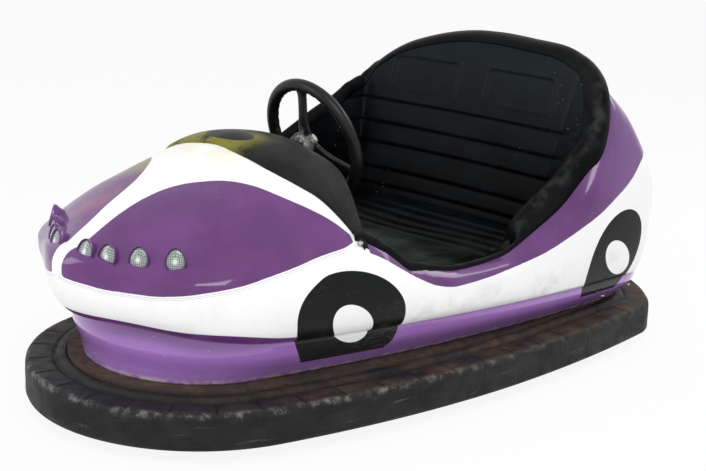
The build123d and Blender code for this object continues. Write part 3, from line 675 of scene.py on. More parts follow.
def make_lamps(sizes, paint):
    """Each pod is a scoop: circles that start inside the lamp's mouth, turn over its lip and then
    shrink and rise backwards until they are under the hood.  Each lens is a shallow dome."""
    radius, back = sizes.lamp_radius, np.linspace(0, 1, 12)[1:]
    radii = radius * np.concatenate([[0.98, 1.0, 1.02, 1.05, 1.07, 1.08],
                                     1.08 - 0.98 * back ** 0.7])
    forward = np.concatenate([[-0.008, 0.002, 0.004, 0.004, 0.002, -0.003], -0.003 - 0.085 * back])
    rise = np.concatenate([np.zeros(6), 0.008 * back ** 0.9])
    dome = np.linspace(0, 1, 9) * math.pi / 2
    a = np.linspace(0, CIRCLE, 48, endpoint=False)[:, None]
    fields = {"lens_x": np.sin(a) * np.sin(dome), "lens_z": np.cos(a) * np.sin(dome)}
    glass, hull = paint_glass(paint), body_finish("pod_finish", paint, everywhere=True)
    for side, word in ((1, "left"), (-1, "right")):
        pods, lenses = [], []
        for row in LAMPS_PLACED:
            place = lamp_frame(side, *row)
            scoop = ring_points(*place, radii, forward, point=LAMP_TIP, rise=rise)
            pods.append(grid_object("pod", scoop, wrap=True, turned=True))
            bulge = ring_points(*place, radius * np.sin(dome), -0.003 + 0.007 * np.cos(dome),
                                point=LAMP_TIP)
            lenses.append(grid_object("lens", bulge, wrap=True, turned=True, fields=fields))
        finish_piece(joined("lamp_scoops_" + word, pods), hull, "car", "shell_gelcoat",
                     "lamp_pods_" + word)
        finish_piece(joined("lamp_glasses_" + word, lenses), glass, "car", "lamp_lens",
                     "lamp_lenses_" + word)


# ---- steering wheel
WHEEL_MIDDLE = np.array([0.0, -0.174, 0.603])
WHEEL_RAKE = math.radians(19)
WHEEL_RADIUS = 0.166
HUB_RADIUS = 0.022
SPOKE_DIP = 0.020            # how far a spoke runs back from the grip to the hub
# profile of the hub: distance from the shaft, distance out of the wheel
HUB_PROFILE = thousandths((11.5, -60), (28, -60), (34, -54), (36, -40), (35, -26), (31, -20),
                          (27, -18.5), (25, -22), (22, -24), (11.5, -24))


def to_wheel(x, y, z):
    """A point given across the wheel, up its face and out of it towards the driver."""
    up = np.array([0, -math.sin(WHEEL_RAKE), math.cos(WHEEL_RAKE)])
    out = np.array([0, math.cos(WHEEL_RAKE), math.sin(WHEEL_RAKE)])
    x, y, z = (part[..., None] for part in np.broadcast_arrays(x, y, z))
    return WHEEL_MIDDLE + x * np.array([1.0, 0, 0]) + y * up + z * out


def make_steering(sizes, paint):
    """The rim is a ring with finger waves on its inner side.  Each spoke is a rounded bar whose
    width and dip change along it.  The hub is a profile turned about the shaft."""
    a = np.linspace(0, CIRCLE, 216, endpoint=False)[:, None]
    b = np.linspace(0, CIRCLE, 22, endpoint=False)[None, :]
    big = WHEEL_RADIUS - sizes.wheel_grip
    thick = sizes.wheel_grip * (1 + 0.05 * np.cos(36 * a) * np.maximum(-np.cos(b), 0))
    ring = big + thick * np.cos(b)
    grip = to_wheel(ring * np.sin(a), ring * np.cos(a), thick * np.sin(b))
    parts = [grid_object("grip", grip, wrap=True, closed=True)]
    s = np.linspace(0, 1, 30)[:, None]
    far = HUB_RADIUS + (big - HUB_RADIUS) * s
    wide = 0.019 - 0.007 * ease(s, 0.0, 0.5) + 0.006 * ease(s, 0.75, 1.0)
    high = 0.0075 + 0.003 * ease(s, 0.8, 1.0)
    across, lift = (size * np.sign(wave) * np.abs(wave) ** 0.6
                    for size, wave in ((wide, np.cos(b)), (high, np.sin(b))))
    lift = lift - SPOKE_DIP * (1 - ease(s, 0.1, 1.0)) - 0.001
    for k in (0, CIRCLE / 3, CIRCLE * 2 / 3):
        spoke = to_wheel(far * math.sin(k) + across * math.cos(k),
                         far * math.cos(k) - across * math.sin(k), lift)
        parts.append(grid_object("spoke", spoke, closed=True, turned=True))
    hub, out = HUB_PROFILE.T
    parts.append(grid_object("hub", to_wheel(hub * np.sin(a), hub * np.cos(a), out),
                             wrap=True, closed=True, turned=True))
    finish_piece(joined("steering_grip", parts), grip_finish(paint), "steering",
                 "steering_plastic", "steering_wheel")


# ---- tyres and fasteners
# half of a tyre's profile, from above its bead to its middle groove: shares of the half width and
# of the radius
TYRE_PROFILE = thousandths((1000, 720), (990, 860), (900, 955), (780, 985), (500, 1000),
                           (170, 1000), (120, 965))


def make_tyres(sizes, paint):
    """Each tyre is a rounded profile turned about its axle, with bars pressed into its tread."""
    rubber = tyre_finish(paint)
    a = np.linspace(0, CIRCLE, 192, endpoint=False)[:, None]
    for node, body in (("drive_tyre", "drive_wheel"), ("rear_tyre_left", "rear_wheel_left"),
                       ("rear_tyre_right", "rear_wheel_right")):
        low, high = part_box(node)
        middle, radius, half = (low + high) / 2, (high.z - low.z) / 2, (high.x - low.x) / 2
        inner = 0.6 * radius + 0.0002
        profile = np.concatenate([[(0.80, inner), (0.96, inner + 0.002)],
                                  TYRE_PROFILE * (1, radius)])
        across, out = np.concatenate([profile * (-1, 1), profile[::-1]]).T
        reach = out - 0.02 * radius * (np.cos(24 * a) > 0.55) * (out > 0.93 * radius)
        points = stack(middle.x + across * half, middle.y + reach * np.cos(a),
                       middle.z + reach * np.sin(a))
        piece = grid_object(node + "_tread", points, wrap=True, closed=True, turned=True)
        finish_piece(piece, rubber, body, "wheel_tyre", node)


def screw_head(middle, out, radius=0.0065, height=0.003):
    """A domed screw head on a surface, with its axis along out."""
    out = np.asarray(out, float) / np.linalg.norm(out)
    side = np.cross(out, [0, 0, 1.0]) if abs(out[2]) < 0.9 else np.array([1.0, 0, 0])
    side = side / np.linalg.norm(side)
    radii = radius * np.array([0.0, 0.14, 0.16, 0.5, 0.8, 0.97, 1.0, 1.0])
    lift = height * np.array([0.6, 0.6, 0.98, 0.9, 0.65, 0.3, 0.1, -0.6])
    points = ring_points(middle, side, out, np.cross(side, out), radii, lift, steps=20)
    return grid_object("screw", points, wrap=True, turned=True)


def make_fasteners(sizes, paint):
    """Screws along the rear of the skirt's foot, and at the cowl's ends."""
    heads = []
    for t in (0.70, 0.82, 0.93):
        for turn in (t, 2 - t):
            x, y = SKIRT_SILL.at(np.array([turn, turn + 0.002]), -0.0045)
            out = (y[1] - y[0], x[0] - x[1], -0.004)
            heads.append(screw_head((x[0], y[0], 0.171), out))
    for side in (1, -1):
        x, y = side * 0.398, -0.389
        heads.append(screw_head((x, y, body_height(x, y) + 0.012), (side * 0.5, -0.2, 1)))
    bright = steel_finish("screw_finish", paint.bright_metal, 0.30, 1.0)
    finish_piece(joined("screws", heads), bright, "car", "bright_steel")


# ---- finishes
def paint_colour(red, green, blue):
    """A colour given as on a screen, 0 to 255, in the shader's linear values."""
    return tuple(c / 12.92 if c <= 0.04045 else ((c + 0.055) / 1.055) ** 2.4
                 for c in (red / 255, green / 255, blue / 255)) + (1.0,)


class Value:
    """A number that changes over a surface.  It wraps a socket, and arithmetic adds Math nodes."""

    def __init__(self, shading, socket):
        self.shading, self.socket = shading, socket

    def math(self, operation, *others):
        """The value after an operation with the others, which are values or numbers."""
        made = self.shading.node("ShaderNodeMath", {"operation": operation},
                                 dict(enumerate((self,) + others)))
        return Value(self.shading, made.outputs[0])

    __add__ = __radd__ = partialmethod(math, "ADD")
    __sub__ = partialmethod(math, "SUBTRACT")
    __mul__ = __rmul__ = partialmethod(math, "MULTIPLY")
    __truediv__ = partialmethod(math, "DIVIDE")
    least, most = partialmethod(math, "MINIMUM"), partialmethod(math, "MAXIMUM")
    size, root = partialmethod(math, "ABSOLUTE"), partialmethod(math, "SQRT")
    sine = partialmethod(math, "SINE")

    def __rsub__(self, other):
        return self * -1.0 + other

    def rise(self, low, high):
        """0 below low, 1 above high, smooth between; low above high turns it round."""
        made = self.shading.node("ShaderNodeMapRange", {"interpolation_type": "SMOOTHSTEP"},
                                 {"Value": self, "From Min": low, "From Max": high})
        return Value(self.shading, made.outputs[0])


class Shading:
    """A tree of shader nodes, emptied."""

    def __init__(self, tree):
        self.tree = tree
        tree.nodes.clear()

    def node(self, kind, settings=None, sockets=None):
        """A node of a kind, with its settings, and the values or links of its sockets."""
        made = self.tree.nodes.new(kind)
        for key, value in (settings or {}).items():
            setattr(made, key, value)
        for key, value in (sockets or {}).items():
            value = value.socket if isinstance(value, Value) else value
            if isinstance(value, bpy.types.NodeSocket):
                self.tree.links.new(value, made.inputs[key])
            else:
                made.inputs[key].default_value = value
        return made

    def seen_plainly(self):
        """1 for rays from the camera, also after a mirror or a glass, and 0 for the rest."""
        path = self.node("ShaderNodeLightPath")
        camera, glossy, through = (Value(self, path.outputs["Is " + kind + " Ray"])
                                   for kind in ("Camera", "Glossy", "Transmission"))
        return camera.most(glossy).most(through)

    def mixed(self, share, first, second):
        """The first shader where the share is 0, and the second where it is 1."""
        return self.node("ShaderNodeMixShader", None,
                         {0: share, 1: first.outputs[0], 2: second.outputs[0]}).outputs[0]


class Finish(Shading):
    """A material: a Principled shader whose changing inputs are built from values."""

    def __init__(self, name, **constants):
        self.material = bpy.data.materials.new(name)
        self.material.use_nodes = True
        super().__init__(self.material.node_tree)
        self.shader = self.node("ShaderNodeBsdfPrincipled", None, {
            key.replace("_", " "): value for key, value in constants.items()})
        self.output = self.node("ShaderNodeOutputMaterial", None, {0: self.shader.outputs[0]})
        self.place = self.node("ShaderNodeTexCoord").outputs["Object"]
        split = self.node("ShaderNodeSeparateXYZ", None, {0: self.place})
        self.x, self.y, self.z = (Value(self, split.outputs[i]) for i in range(3))

    def feed(self, **links):
        """Links a shader input, named with _ for a space, to a value or a colour."""
        for key, value in links.items():
            socket = value.socket if isinstance(value, Value) else value
            self.tree.links.new(socket, self.shader.inputs[key.replace("_", " ")])
        return self

    def field(self, name):
        """A number kept at the points of the piece."""
        made = self.node("ShaderNodeAttribute", {"attribute_name": name})
        return Value(self, made.outputs["Fac"])

    def pattern(self, kind, output, stretch, shift, **sockets):
        """A texture on the piece's own place, stretched and shifted."""
        moved = self.node("ShaderNodeMapping", None, {
            "Vector": self.place, "Location": shift, "Scale": stretch})
        made = self.node(kind, None, {"Vector": moved.outputs[0], **sockets})
        return Value(self, made.outputs[output])

    def noise(self, scale, detail=3.0, rough=0.5, stretch=(1, 1, 1), shift=(0, 0, 0)):
        """Cloudy noise, about 0.5; a larger stretch packs it closer along that axis."""
        return self.pattern("ShaderNodeTexNoise", "Fac", stretch, shift,
                            Scale=scale, Detail=detail, Roughness=rough)

    def cells(self, scale, stretch=(1, 1, 1)):
        """Distance to the nearest of scattered points."""
        return self.pattern("ShaderNodeTexVoronoi", "Distance", stretch, (0, 0, 0), Scale=scale)

    def blend(self, share, first, second):
        """The first colour where the share is 0, and the second where it is 1."""
        return self.node("ShaderNodeMix", {"data_type": "RGBA"},
                         {0: share, 6: first, 7: second}).outputs[2]

    def layers(self, colour, *coats):
        """Each coat, a share and a colour, laid over what is there."""
        for share, tint in coats:
            colour = self.blend(share, colour, tint)
        return colour

    def bump(self, height, distance, strength=0.5):
        """Relief, and the finished material: height is 0 to 1 and distance is what 1 stands for,
        in metres."""
        made = self.node("ShaderNodeBump", None, {
            "Strength": strength, "Distance": distance, "Height": height})
        return self.feed(Normal=made.outputs[0]).material


def most_of(values):
    """The largest of several values."""
    return reduce(Value.most, values)


def ellipse(across, up, soft):
    """1 within the unit circle of two values, with a soft edge."""
    return (across * across + up * up).rise(1 + soft, 1 - soft)


def scratches(finish, amount):
    """Fine broken lines in two directions: the narrow middle of stretched noise, where patches let
    it."""
    lines = []
    for stretch, shift in (((3, 30, 14), (0, 0, 0)), ((26, 4, 20), (3, 1, 7))):
        line = (finish.noise(9, 2, 0.5, stretch, shift) - 0.5).size().rise(0.006, 0.0)
        patch = finish.noise(6, 3, 0.6, shift=shift).rise(0.62 - 0.2 * amount, 0.75)
        lines.append(line * patch)
    return most_of(lines)


def wheel_paint(finish):
    """Masks of the painted wheels and of their hubs, from height and place along the car."""
    discs, hubs = [], []
    for y, z, half, above, below, lean, cut in PAINTED_WHEELS.tolist():
        up = finish.z - z
        along = (finish.y - y - up * lean) / half
        high = up.most(0.0) / above + up.least(0.0) / below
        discs.append(ellipse(along, high, 0.01) * finish.z.rise(cut - 0.0005, cut + 0.0005))
    for (y, z), (along_y, along_z), (up_y, up_z) in PAINTED_HUBS.tolist():
        area = along_y * up_z - along_z * up_y
        along = ((finish.y - y) * up_z - (finish.z - z) * up_y) / area
        high = ((finish.z - z) * along_y - (finish.y - y) * along_z) / area
        hubs.append(ellipse(along, high, 0.02))
    sides = finish.x.size().rise(0.30, 0.31)
    return most_of(discs) * sides, most_of(hubs) * sides


def body_finish(name, paint, everywhere=False):
    """Glossy gelcoat: white with purple drops on the hood and a purple band round the cockpit,
    painted wheels, fine pale lines under the drops, chips, scratches and road dust."""
    finish = Finish(name, Coat_Roughness=0.06, Specular_IOR_Level=0.12)
    purple = finish.layers(
        paint.purple,
        (finish.noise(7, 4, 0.6).rise(0.35, 0.7), paint.purple_deep),
        (finish.noise(2.3, 2, 0.5, shift=(4, 1, 0)).rise(0.52, 0.72) * 0.16, paint.purple_faded))
    chips = (finish.cells(38).rise(0.10, 0.06)
             * finish.noise(5, 3, 0.6, shift=(1, 5, 2)).rise(0.60, 0.70))
    worn = chips.most(scratches(finish, 0.3) * 0.7)
    colour = purple
    if not everywhere:
        white = finish.blend(finish.noise(5, 4, 0.65).rise(0.50, 0.85) * 0.30, paint.white,
                             paint.white_dusty)
        fuzz = (finish.noise(60, 2, 0.5) - 0.5) * 0.0012
        drop, band = ((finish.field(name) + fuzz).rise(-0.0006, 0.0006)
                      for name in ("drop", "band"))
        mask = drop.most(band).most(finish.field("lip").rise(0.0006, -0.0006))
        under, ahead = finish.field("drop_edge"), finish.y + 0.42
        stripes = ((under + 0.0045).size().rise(0.0011, 0.0006)
                   .most((under + 0.0088).size().rise(0.0008, 0.0004)))
        near = finish.field("drop").rise(-0.016, -0.012) * ahead.rise(0.0, -0.01)
        discs, hubs = wheel_paint(finish)
        apex = (finish.y + 0.50).size().rise(0.09, 0.0) * finish.x.size().rise(0.22, 0.05)
        side = (finish.x.rise(-0.03, -0.07) * finish.z.rise(0.42, 0.50) * mask
                * ahead.rise(0.0, -0.05))
        pink = (side * (finish.y + 0.72).size().rise(0.11, 0.04)
                * finish.noise(8, 4, 0.6).rise(0.40, 0.6))
        colour = finish.layers(
            white, (mask, purple), (stripes * near * 0.55, paint.pale_line),
            (discs, paint.decal_black), (hubs, paint.white),
            (apex * finish.noise(9, 2).rise(0.35, 0.6) * 0.45 * (1 - mask), paint.yellow_stain),
            (side * (finish.y + 0.66).rise(-0.03, 0.06) * 0.75, paint.olive_stain),
            (pink * 0.5, paint.pink_stain))
        worn = worn * mask.most(discs * 0.5)
    low = finish.z.rise(0.34, 0.24) * finish.noise(12, 5, 0.7).rise(0.45, 0.8) * 0.35
    colour = finish.layers(colour, (worn * 0.55, paint.chip), (low, paint.dust))
    rough = 0.30 + finish.noise(16, 4, 0.6).rise(0.4, 0.8) * 0.12 + worn * 0.25 + low * 0.5
    coat = 0.62 - low if everywhere else 0.62 - low - discs * (1 - hubs) * 0.58 - side * 0.40
    finish.feed(Base_Color=colour, Roughness=rough, Coat_Weight=coat)
    return finish.bump(finish.noise(46, 2, 0.4) + worn * -0.6, 0.0009)


def skirt_finish(paint):
    """The same purple gelcoat, knocked about: scuffed pale on the nose, chipped along the foot,
    with dust lying above the bumper and the painted wheels running down over it. The lower skirt
    and the painted wheels on it are drawn lighter, as painted light against their shade."""
    finish = Finish("skirt_finish", Coat_Roughness=0.08, Specular_IOR_Level=0.15)
    cloud = finish.noise(6, 4, 0.6).rise(0.35, 0.7)
    nose = finish.y.rise(-0.66, -0.84) * finish.noise(7, 5, 0.65, (1, 1, 2.4)).rise(0.45, 0.75)
    chips = (finish.cells(44, (1, 1, 1.5)).rise(0.12, 0.07)
             * finish.noise(7, 3, 0.6).rise(0.60, 0.68))
    foot = finish.z.rise(0.150, 0.139) * finish.noise(30, 4, 0.7).rise(0.38, 0.62)
    streak = ((finish.noise(7, 3, 0.6, (1, 1, 16)) - 0.5).size().rise(0.012, 0.0)
              * finish.noise(4, 2).rise(0.5, 0.6))
    worn = chips.most(foot).most(streak * 0.2)
    dust = finish.z.rise(0.185, 0.140) * finish.noise(14, 5, 0.7).rise(0.42, 0.75) * 0.5
    discs, hubs = wheel_paint(finish)
    colour = finish.layers(
        paint.purple, (cloud, paint.purple_deep), (nose * 0.45, paint.purple_faded),
        # painted light: the lower skirt is blended to a lighter purple to offset the shade it lies
        # in
        # painted light: the painted wheels on the skirt take a lighter grey than on the shell, to
        # offset their shade
        (finish.z.rise(0.34, 0.20) * 0.85, paint.purple_painted_lift), (discs, paint.grey_rubber_and_decal_lift),
        (hubs, paint.white), (worn * 0.75, paint.chip), (dust, paint.dust))
    rough = 0.16 + nose * 0.15 + worn * 0.3 + dust * 0.5
    coat = 0.9 - dust - discs * (1 - hubs) * 0.85
    finish.feed(Base_Color=colour, Roughness=rough, Coat_Weight=coat)
    return finish.bump(finish.noise(40, 2, 0.4) + worn * -0.7, 0.0010)


def rubber_finish(paint):
    """Old black rubber: rusty dust lying on its flat top, whitish scuffs where the top edge rubs,
    streaks and grain on the wall, dark cuts across the edge and a darker groove."""
    finish = Finish("rubber_finish", Specular_IOR_Level=0.20)
    inset, away = finish.field("inset"), finish.field("notch")
    wall = finish.blend(finish.noise(9, 5, 0.7, (1, 1, 2)).rise(0.35, 0.75), paint.rubber,
                        paint.grey_rubber_and_decal_lift)
    top = finish.z.rise(0.1135, 0.1175)
    rusty = finish.noise(8, 6, 0.68).rise(0.36, 0.62) * (finish.y + 0.62).rise(-0.30, 0.25) * 0.9
    soil = finish.blend(finish.noise(22, 5, 0.7).rise(0.35, 0.7), paint.rust_dust, paint.rust_dark)
    cloud = finish.noise(14, 4, 0.7).rise(0.3, 0.7)
    upper = finish.layers(paint.grey_rubber_and_decal_lift, (cloud, paint.rubber), (rusty, soil))
    scuff = (inset.rise(0.020, 0.002) * finish.z.rise(0.100, 0.114)
             * finish.noise(26, 5, 0.75).rise(0.46, 0.66))
    ahead = finish.y.rise(0.30, -0.45) * 0.75 + 0.22
    streak = finish.noise(8, 4, 0.7, (1, 1, 9)).rise(0.60, 0.78) * finish.z.rise(0.119, 0.10)
    cut = away.rise(0.0035, 0.0015) * inset.rise(0.068, 0.060)
    gap = (inset - 0.069).size().rise(0.006, 0.003) * finish.z.rise(0.10, 0.11)
    colour = finish.layers(
        wall, (top, upper), (scuff * ahead * 0.55, paint.scuff), (streak * 0.30, paint.scuff),
        (cut * top * 0.75, paint.rubber_black), (gap * 0.8, paint.rubber_black))
    rough = 0.52 + finish.noise(18, 4, 0.7).rise(0.4, 0.7) * 0.2 + rusty * top * 0.25
    finish.feed(Base_Color=colour, Roughness=rough)
    grain = finish.noise(120, 4, 0.6) * 0.5 + finish.noise(14, 4, 0.6)
    return finish.bump(grain - cut * 0.8 + scuff * 0.3, 0.0014, 0.6)


def rim_finish(paint):
    """Black moulded plastic: a dusty bloom, rubbed brighter along the crest, fine scratches."""
    finish = Finish("rim_finish", Specular_IOR_Level=0.07)
    bloom = finish.noise(6, 5, 0.65).rise(0.40, 0.72)
    rub = ((finish.field("across") - 0.40).size().rise(0.30, 0.05)
           * finish.noise(20, 4, 0.7).rise(0.42, 0.68))
    lines = scratches(finish, 0.6)
    colour = finish.layers(paint.seat_black, (bloom * 0.45, paint.plastic_grey),
                           ((rub * 0.20).most(lines * 0.30), paint.plastic_rubbed))
    finish.feed(Base_Color=colour, Roughness=0.40 + bloom * 0.14 + lines * 0.1)
    return finish.bump(finish.noise(90, 3, 0.6) * 0.6 + finish.noise(11, 3, 0.5), 0.0009)


def seat_finish(name, paint, dusty):
    """Glossy black moulded seat with a fine leathery grain and grey-green clouds, lightened
    towards the top of the back by a painted sheen; grey-green dust where people sit and tread,
    clean and dark in the grooves."""
    finish = Finish(name, Specular_IOR_Level=0.05)
    cloud = finish.noise(5, 5, 0.62).rise(0.40, 0.72)
    worn = (finish.noise(3.2, 4, 0.6, shift=(2, 0, 3)).rise(0.42, 0.70)
            * finish.y.rise(0.20, -0.06) * dusty)
    specks = finish.cells(60).rise(0.08, 0.05) * finish.noise(6, 2).rise(0.58, 0.64)
    lines = scratches(finish, 0.5)
    colour = finish.layers(
        # grey-green clouds are random tone; the blend rising from 0.50 to 0.80 in height is a
        # painted sheen on the upper seat and tub
        paint.seat_black, (cloud * 0.25 + finish.z.rise(0.50, 0.80) * 0.75, paint.seat_cloud_and_painted_sheen),
        (worn, paint.seat_dust), (specks * 0.5, paint.chip), (lines * 0.22, paint.plastic_rubbed))
    rough = 0.30 + cloud * 0.12 + worn * 0.35 + lines * 0.1
    finish.feed(Base_Color=colour, Roughness=rough)
    return finish.bump(finish.noise(160, 3, 0.6) * 0.5 + finish.noise(12, 3, 0.5), 0.0010)


def cowl_finish(paint):
    """Matt charcoal skin with a black oval pad and an uneven olive-yellow stain on its front."""
    finish = Finish("cowl_finish", Specular_IOR_Level=0.12)
    cloud = finish.noise(9, 5, 0.65).rise(0.35, 0.7)
    blot = finish.noise(11, 4, 0.65, shift=(0, 2, 1)).rise(0.34, 0.50)
    stain = finish.y.rise(-0.36, -0.43) * finish.x.rise(0.12, 0.04) * blot
    oval = ellipse((finish.x + 0.015) / 0.080, (finish.y + 0.435) / 0.036, 0.05)
    colour = finish.layers(
        paint.cowl_grey, (cloud, paint.cowl_dark), (stain * 0.9, paint.olive_stain),
        (oval, paint.rubber_black), (scratches(finish, 0.5) * 0.25, paint.plastic_rubbed))
    finish.feed(Base_Color=colour, Roughness=0.50 + cloud * 0.15 - oval * 0.15)
    return finish.bump(finish.noise(140, 3, 0.6) + oval * 0.8, 0.0012)


def grip_finish(paint):
    """Black plastic, satin on the grip where hands polish it, and bare worn metal at the hub."""
    finish = Finish("grip_finish", Specular_IOR_Level=0.22)
    across, up = finish.x - WHEEL_MIDDLE[0], finish.z - WHEEL_MIDDLE[2]
    far = (across * across + up * up / (math.cos(WHEEL_RAKE) ** 2)).root()
    cloud = finish.noise(14, 4, 0.6).rise(0.4, 0.7)
    bare = far.rise(0.046, 0.020) * finish.noise(34, 4, 0.7).rise(0.42, 0.62) * 0.7
    lines = scratches(finish, 0.7)
    colour = finish.layers(paint.grip_black, (cloud * 0.6, paint.plastic_grey),
                           (bare, paint.bright_metal), (lines * 0.3, paint.plastic_rubbed))
    finish.feed(Base_Color=colour, Metallic=bare, Roughness=0.30 + cloud * 0.14 + lines * 0.1)
    return finish.bump(finish.noise(150, 3, 0.6) * 0.5 - bare * 0.5, 0.0008)


def paint_glass(paint):
    """Lamp glass over a cluster of small lights: a lens pattern of rows and a bright middle."""
    finish = Finish("lamp_glass", Coat_Roughness=0.03, Coat_Weight=1.0, IOR=1.45)
    across, up = finish.field("lens_x"), finish.field("lens_z")
    far = (across * across + up * up).root()
    rows = ((across * 15.0).sine() * (up * 15.0).sine()).size()
    colour = finish.layers(paint.lens_dark, (rows.rise(0.15, 0.75), paint.lens_green),
                           (far.rise(0.42, 0.05) * 0.9, paint.lens_bright),
                           (far.rise(0.88, 0.97), paint.lens_dark))
    finish.feed(Base_Color=colour, Roughness=0.16 + rows * 0.12)
    return finish.bump(rows, 0.0010, 0.6)


def tyre_finish(paint):
    """Worn black tyre rubber with grey dust in its tread."""
    finish = Finish("tyre_finish", Specular_IOR_Level=0.25)
    dust = finish.noise(24, 5, 0.7).rise(0.42, 0.70)
    finish.feed(Base_Color=finish.blend(dust * 0.6, paint.rubber, paint.dust),
                Roughness=0.66 + dust * 0.2)
    return finish.bump(finish.noise(110, 4, 0.6), 0.0010, 0.6)


def steel_finish(name, tint, rough, metal, rust=0.0, paint=None):
    """Metal or painted metal: cloudy sheen, brushed grain, and rust spreading in patches."""
    finish = Finish(name, Specular_IOR_Level=0.4, Metallic=metal)
    cloud = finish.noise(16, 5, 0.65).rise(0.38, 0.70)
    darker = tuple(c * 0.55 for c in tint[:3]) + (1.0,)
    colour = finish.blend(cloud * 0.7, tuple(tint), darker)
    sheen = rough + cloud * 0.15
    if rust:
        spread = finish.noise(9, 6, 0.7, shift=(3, 3, 1)).rise(0.62 - 0.22 * rust,
                                                               0.74 - 0.18 * rust)
        stain = finish.blend(finish.noise(40, 4, 0.7).rise(0.35, 0.7), paint.rust_dust,
                             paint.rust_dark)
        colour = finish.blend(spread, colour, stain)
        finish.feed(Metallic=metal - spread * metal)
        sheen = sheen + spread * (0.85 - rough)
    finish.feed(Base_Color=colour, Roughness=sheen)
    return finish.bump(finish.noise(30, 3, 0.6, (1, 9, 9)), 0.0005, 0.4)


# ---- sizes and colours
def shade(name, description, *rgb):
    """A colour that the user can change, given as on a screen."""
    return FloatVectorProperty(name=name, description=description, subtype="COLOR", size=4, min=0,
                               max=1, default=paint_colour(*rgb))


def length_choice(name, description, default, low, high):
    """A length that the user can change, in metres."""
    return FloatProperty(name=name, description=description, default=default, min=low, max=high,
                         subtype="DISTANCE", unit="LENGTH")


class CarPaint(bpy.types.PropertyGroup):
    """Colours of the car's finishes."""
    purple: shade("Purple", "Gelcoat of the drops, the band and the skirt", 104, 55, 120)
    purple_deep: shade("Deep purple", "Darker clouds in the purple", 92, 45, 106)
    purple_faded: shade("Faded purple", "Purple where it is rubbed or bleached", 164, 140, 186)
    # painted light: a lighter purple that lifts the shaded lower skirt
    purple_painted_lift: shade("Light purple", "Lighter purple low on the skirt", 176, 126, 208)
    white: shade("White", "Gelcoat of the body", 250, 250, 251)
    white_dusty: shade("Dusty white", "White where dirt clings", 216, 212, 210)
    pale_line: shade("Pale line", "Thin lines under the drops", 168, 164, 172)
    decal_black: shade("Painted wheels", "Charcoal of the painted wheels", 16, 18, 18)
    yellow_stain: shade("Yellow stain", "Yellowed white beside the cowl", 232, 224, 168)
    pink_stain: shade("Pink stain", "Pinkish fading on the hood's right side", 168, 104, 128)
    chip: shade("Chip", "Bare filler where gelcoat is chipped", 214, 206, 200)
    dust: shade("Dust", "Road dust", 128, 112, 100)
    rubber: shade("Rubber", "Bumper and tyre rubber", 21, 22, 24)
    # weathered rubber; also the lighter grey of the painted wheels on the skirt, as painted light
    # against their shade
    grey_rubber_and_decal_lift: shade("Grey rubber", "Weathered rubber", 39, 39, 41)
    rubber_black: shade("Black rubber", "Cuts, grooves and clean rubber", 12, 12, 13)
    rust_dust: shade("Rusty dust", "Brown dust on top of the bumper", 84, 66, 54)
    rust_dark: shade("Dark rust", "Darker rusty stain", 52, 39, 31)
    scuff: shade("Scuff", "Whitish rubs on the rubber", 150, 146, 142)
    plastic_grey: shade("Plastic bloom", "Dusty bloom on black plastic", 26, 28, 28)
    plastic_rubbed: shade("Rubbed plastic", "Scratches and rubbed edges", 98, 100, 100)
    cowl_grey: shade("Cowl", "Charcoal of the cowl", 30, 31, 29)
    cowl_dark: shade("Dark cowl", "Darker clouds on the cowl", 20, 21, 21)
    olive_stain: shade("Olive stain", "Stain at the cowl's front", 132, 128, 56)
    seat_black: shade("Seat", "Black of the seat and tub", 4, 5, 7)
    # grey-green clouds, and the painted sheen on the upper seat and tub
    seat_cloud_and_painted_sheen: shade("Seat sheen", "Grey-green clouds on the seat", 30, 37, 40)
    seat_dust: shade("Seat dust", "Dust trodden into the seat's front", 62, 66, 62)
    grip_black: shade("Grip", "Black of the steering wheel", 20, 20, 22)
    bright_metal: shade("Bright metal", "Bare worn metal", 190, 188, 184)
    lens_green: shade("Lens", "Grey-green of the lamp glasses", 158, 172, 164)
    lens_dark: shade("Lens shade", "Dark between the lamps' small lights", 98, 110, 106)
    lens_bright: shade("Lens glow", "Bright middle of a lamp", 226, 236, 232)


class CarSizes(bpy.types.PropertyGroup):
    """Sizes of the car's dressed pieces."""
    notch_spacing: length_choice("Cut spacing", "Distance between cuts in the bumper's edge",
                                 0.105, 0.03, 0.5)
    rim_height: length_choice("Rim height", "Height of the cockpit rim's crest",
                              RIM_HEIGHT, 0.004, 0.03)
    lamp_radius: length_choice("Lamp radius", "Radius of a lamp's glass", 0.0225, 0.01, 0.03)
    wheel_grip: length_choice("Grip radius", "Radius of the steering wheel's rim",
                              0.0155, 0.008, 0.02)
    lens_length: FloatProperty(name="Lens", default=66.53, min=20, max=200,
                               description="Focal length of the camera in millimetres")


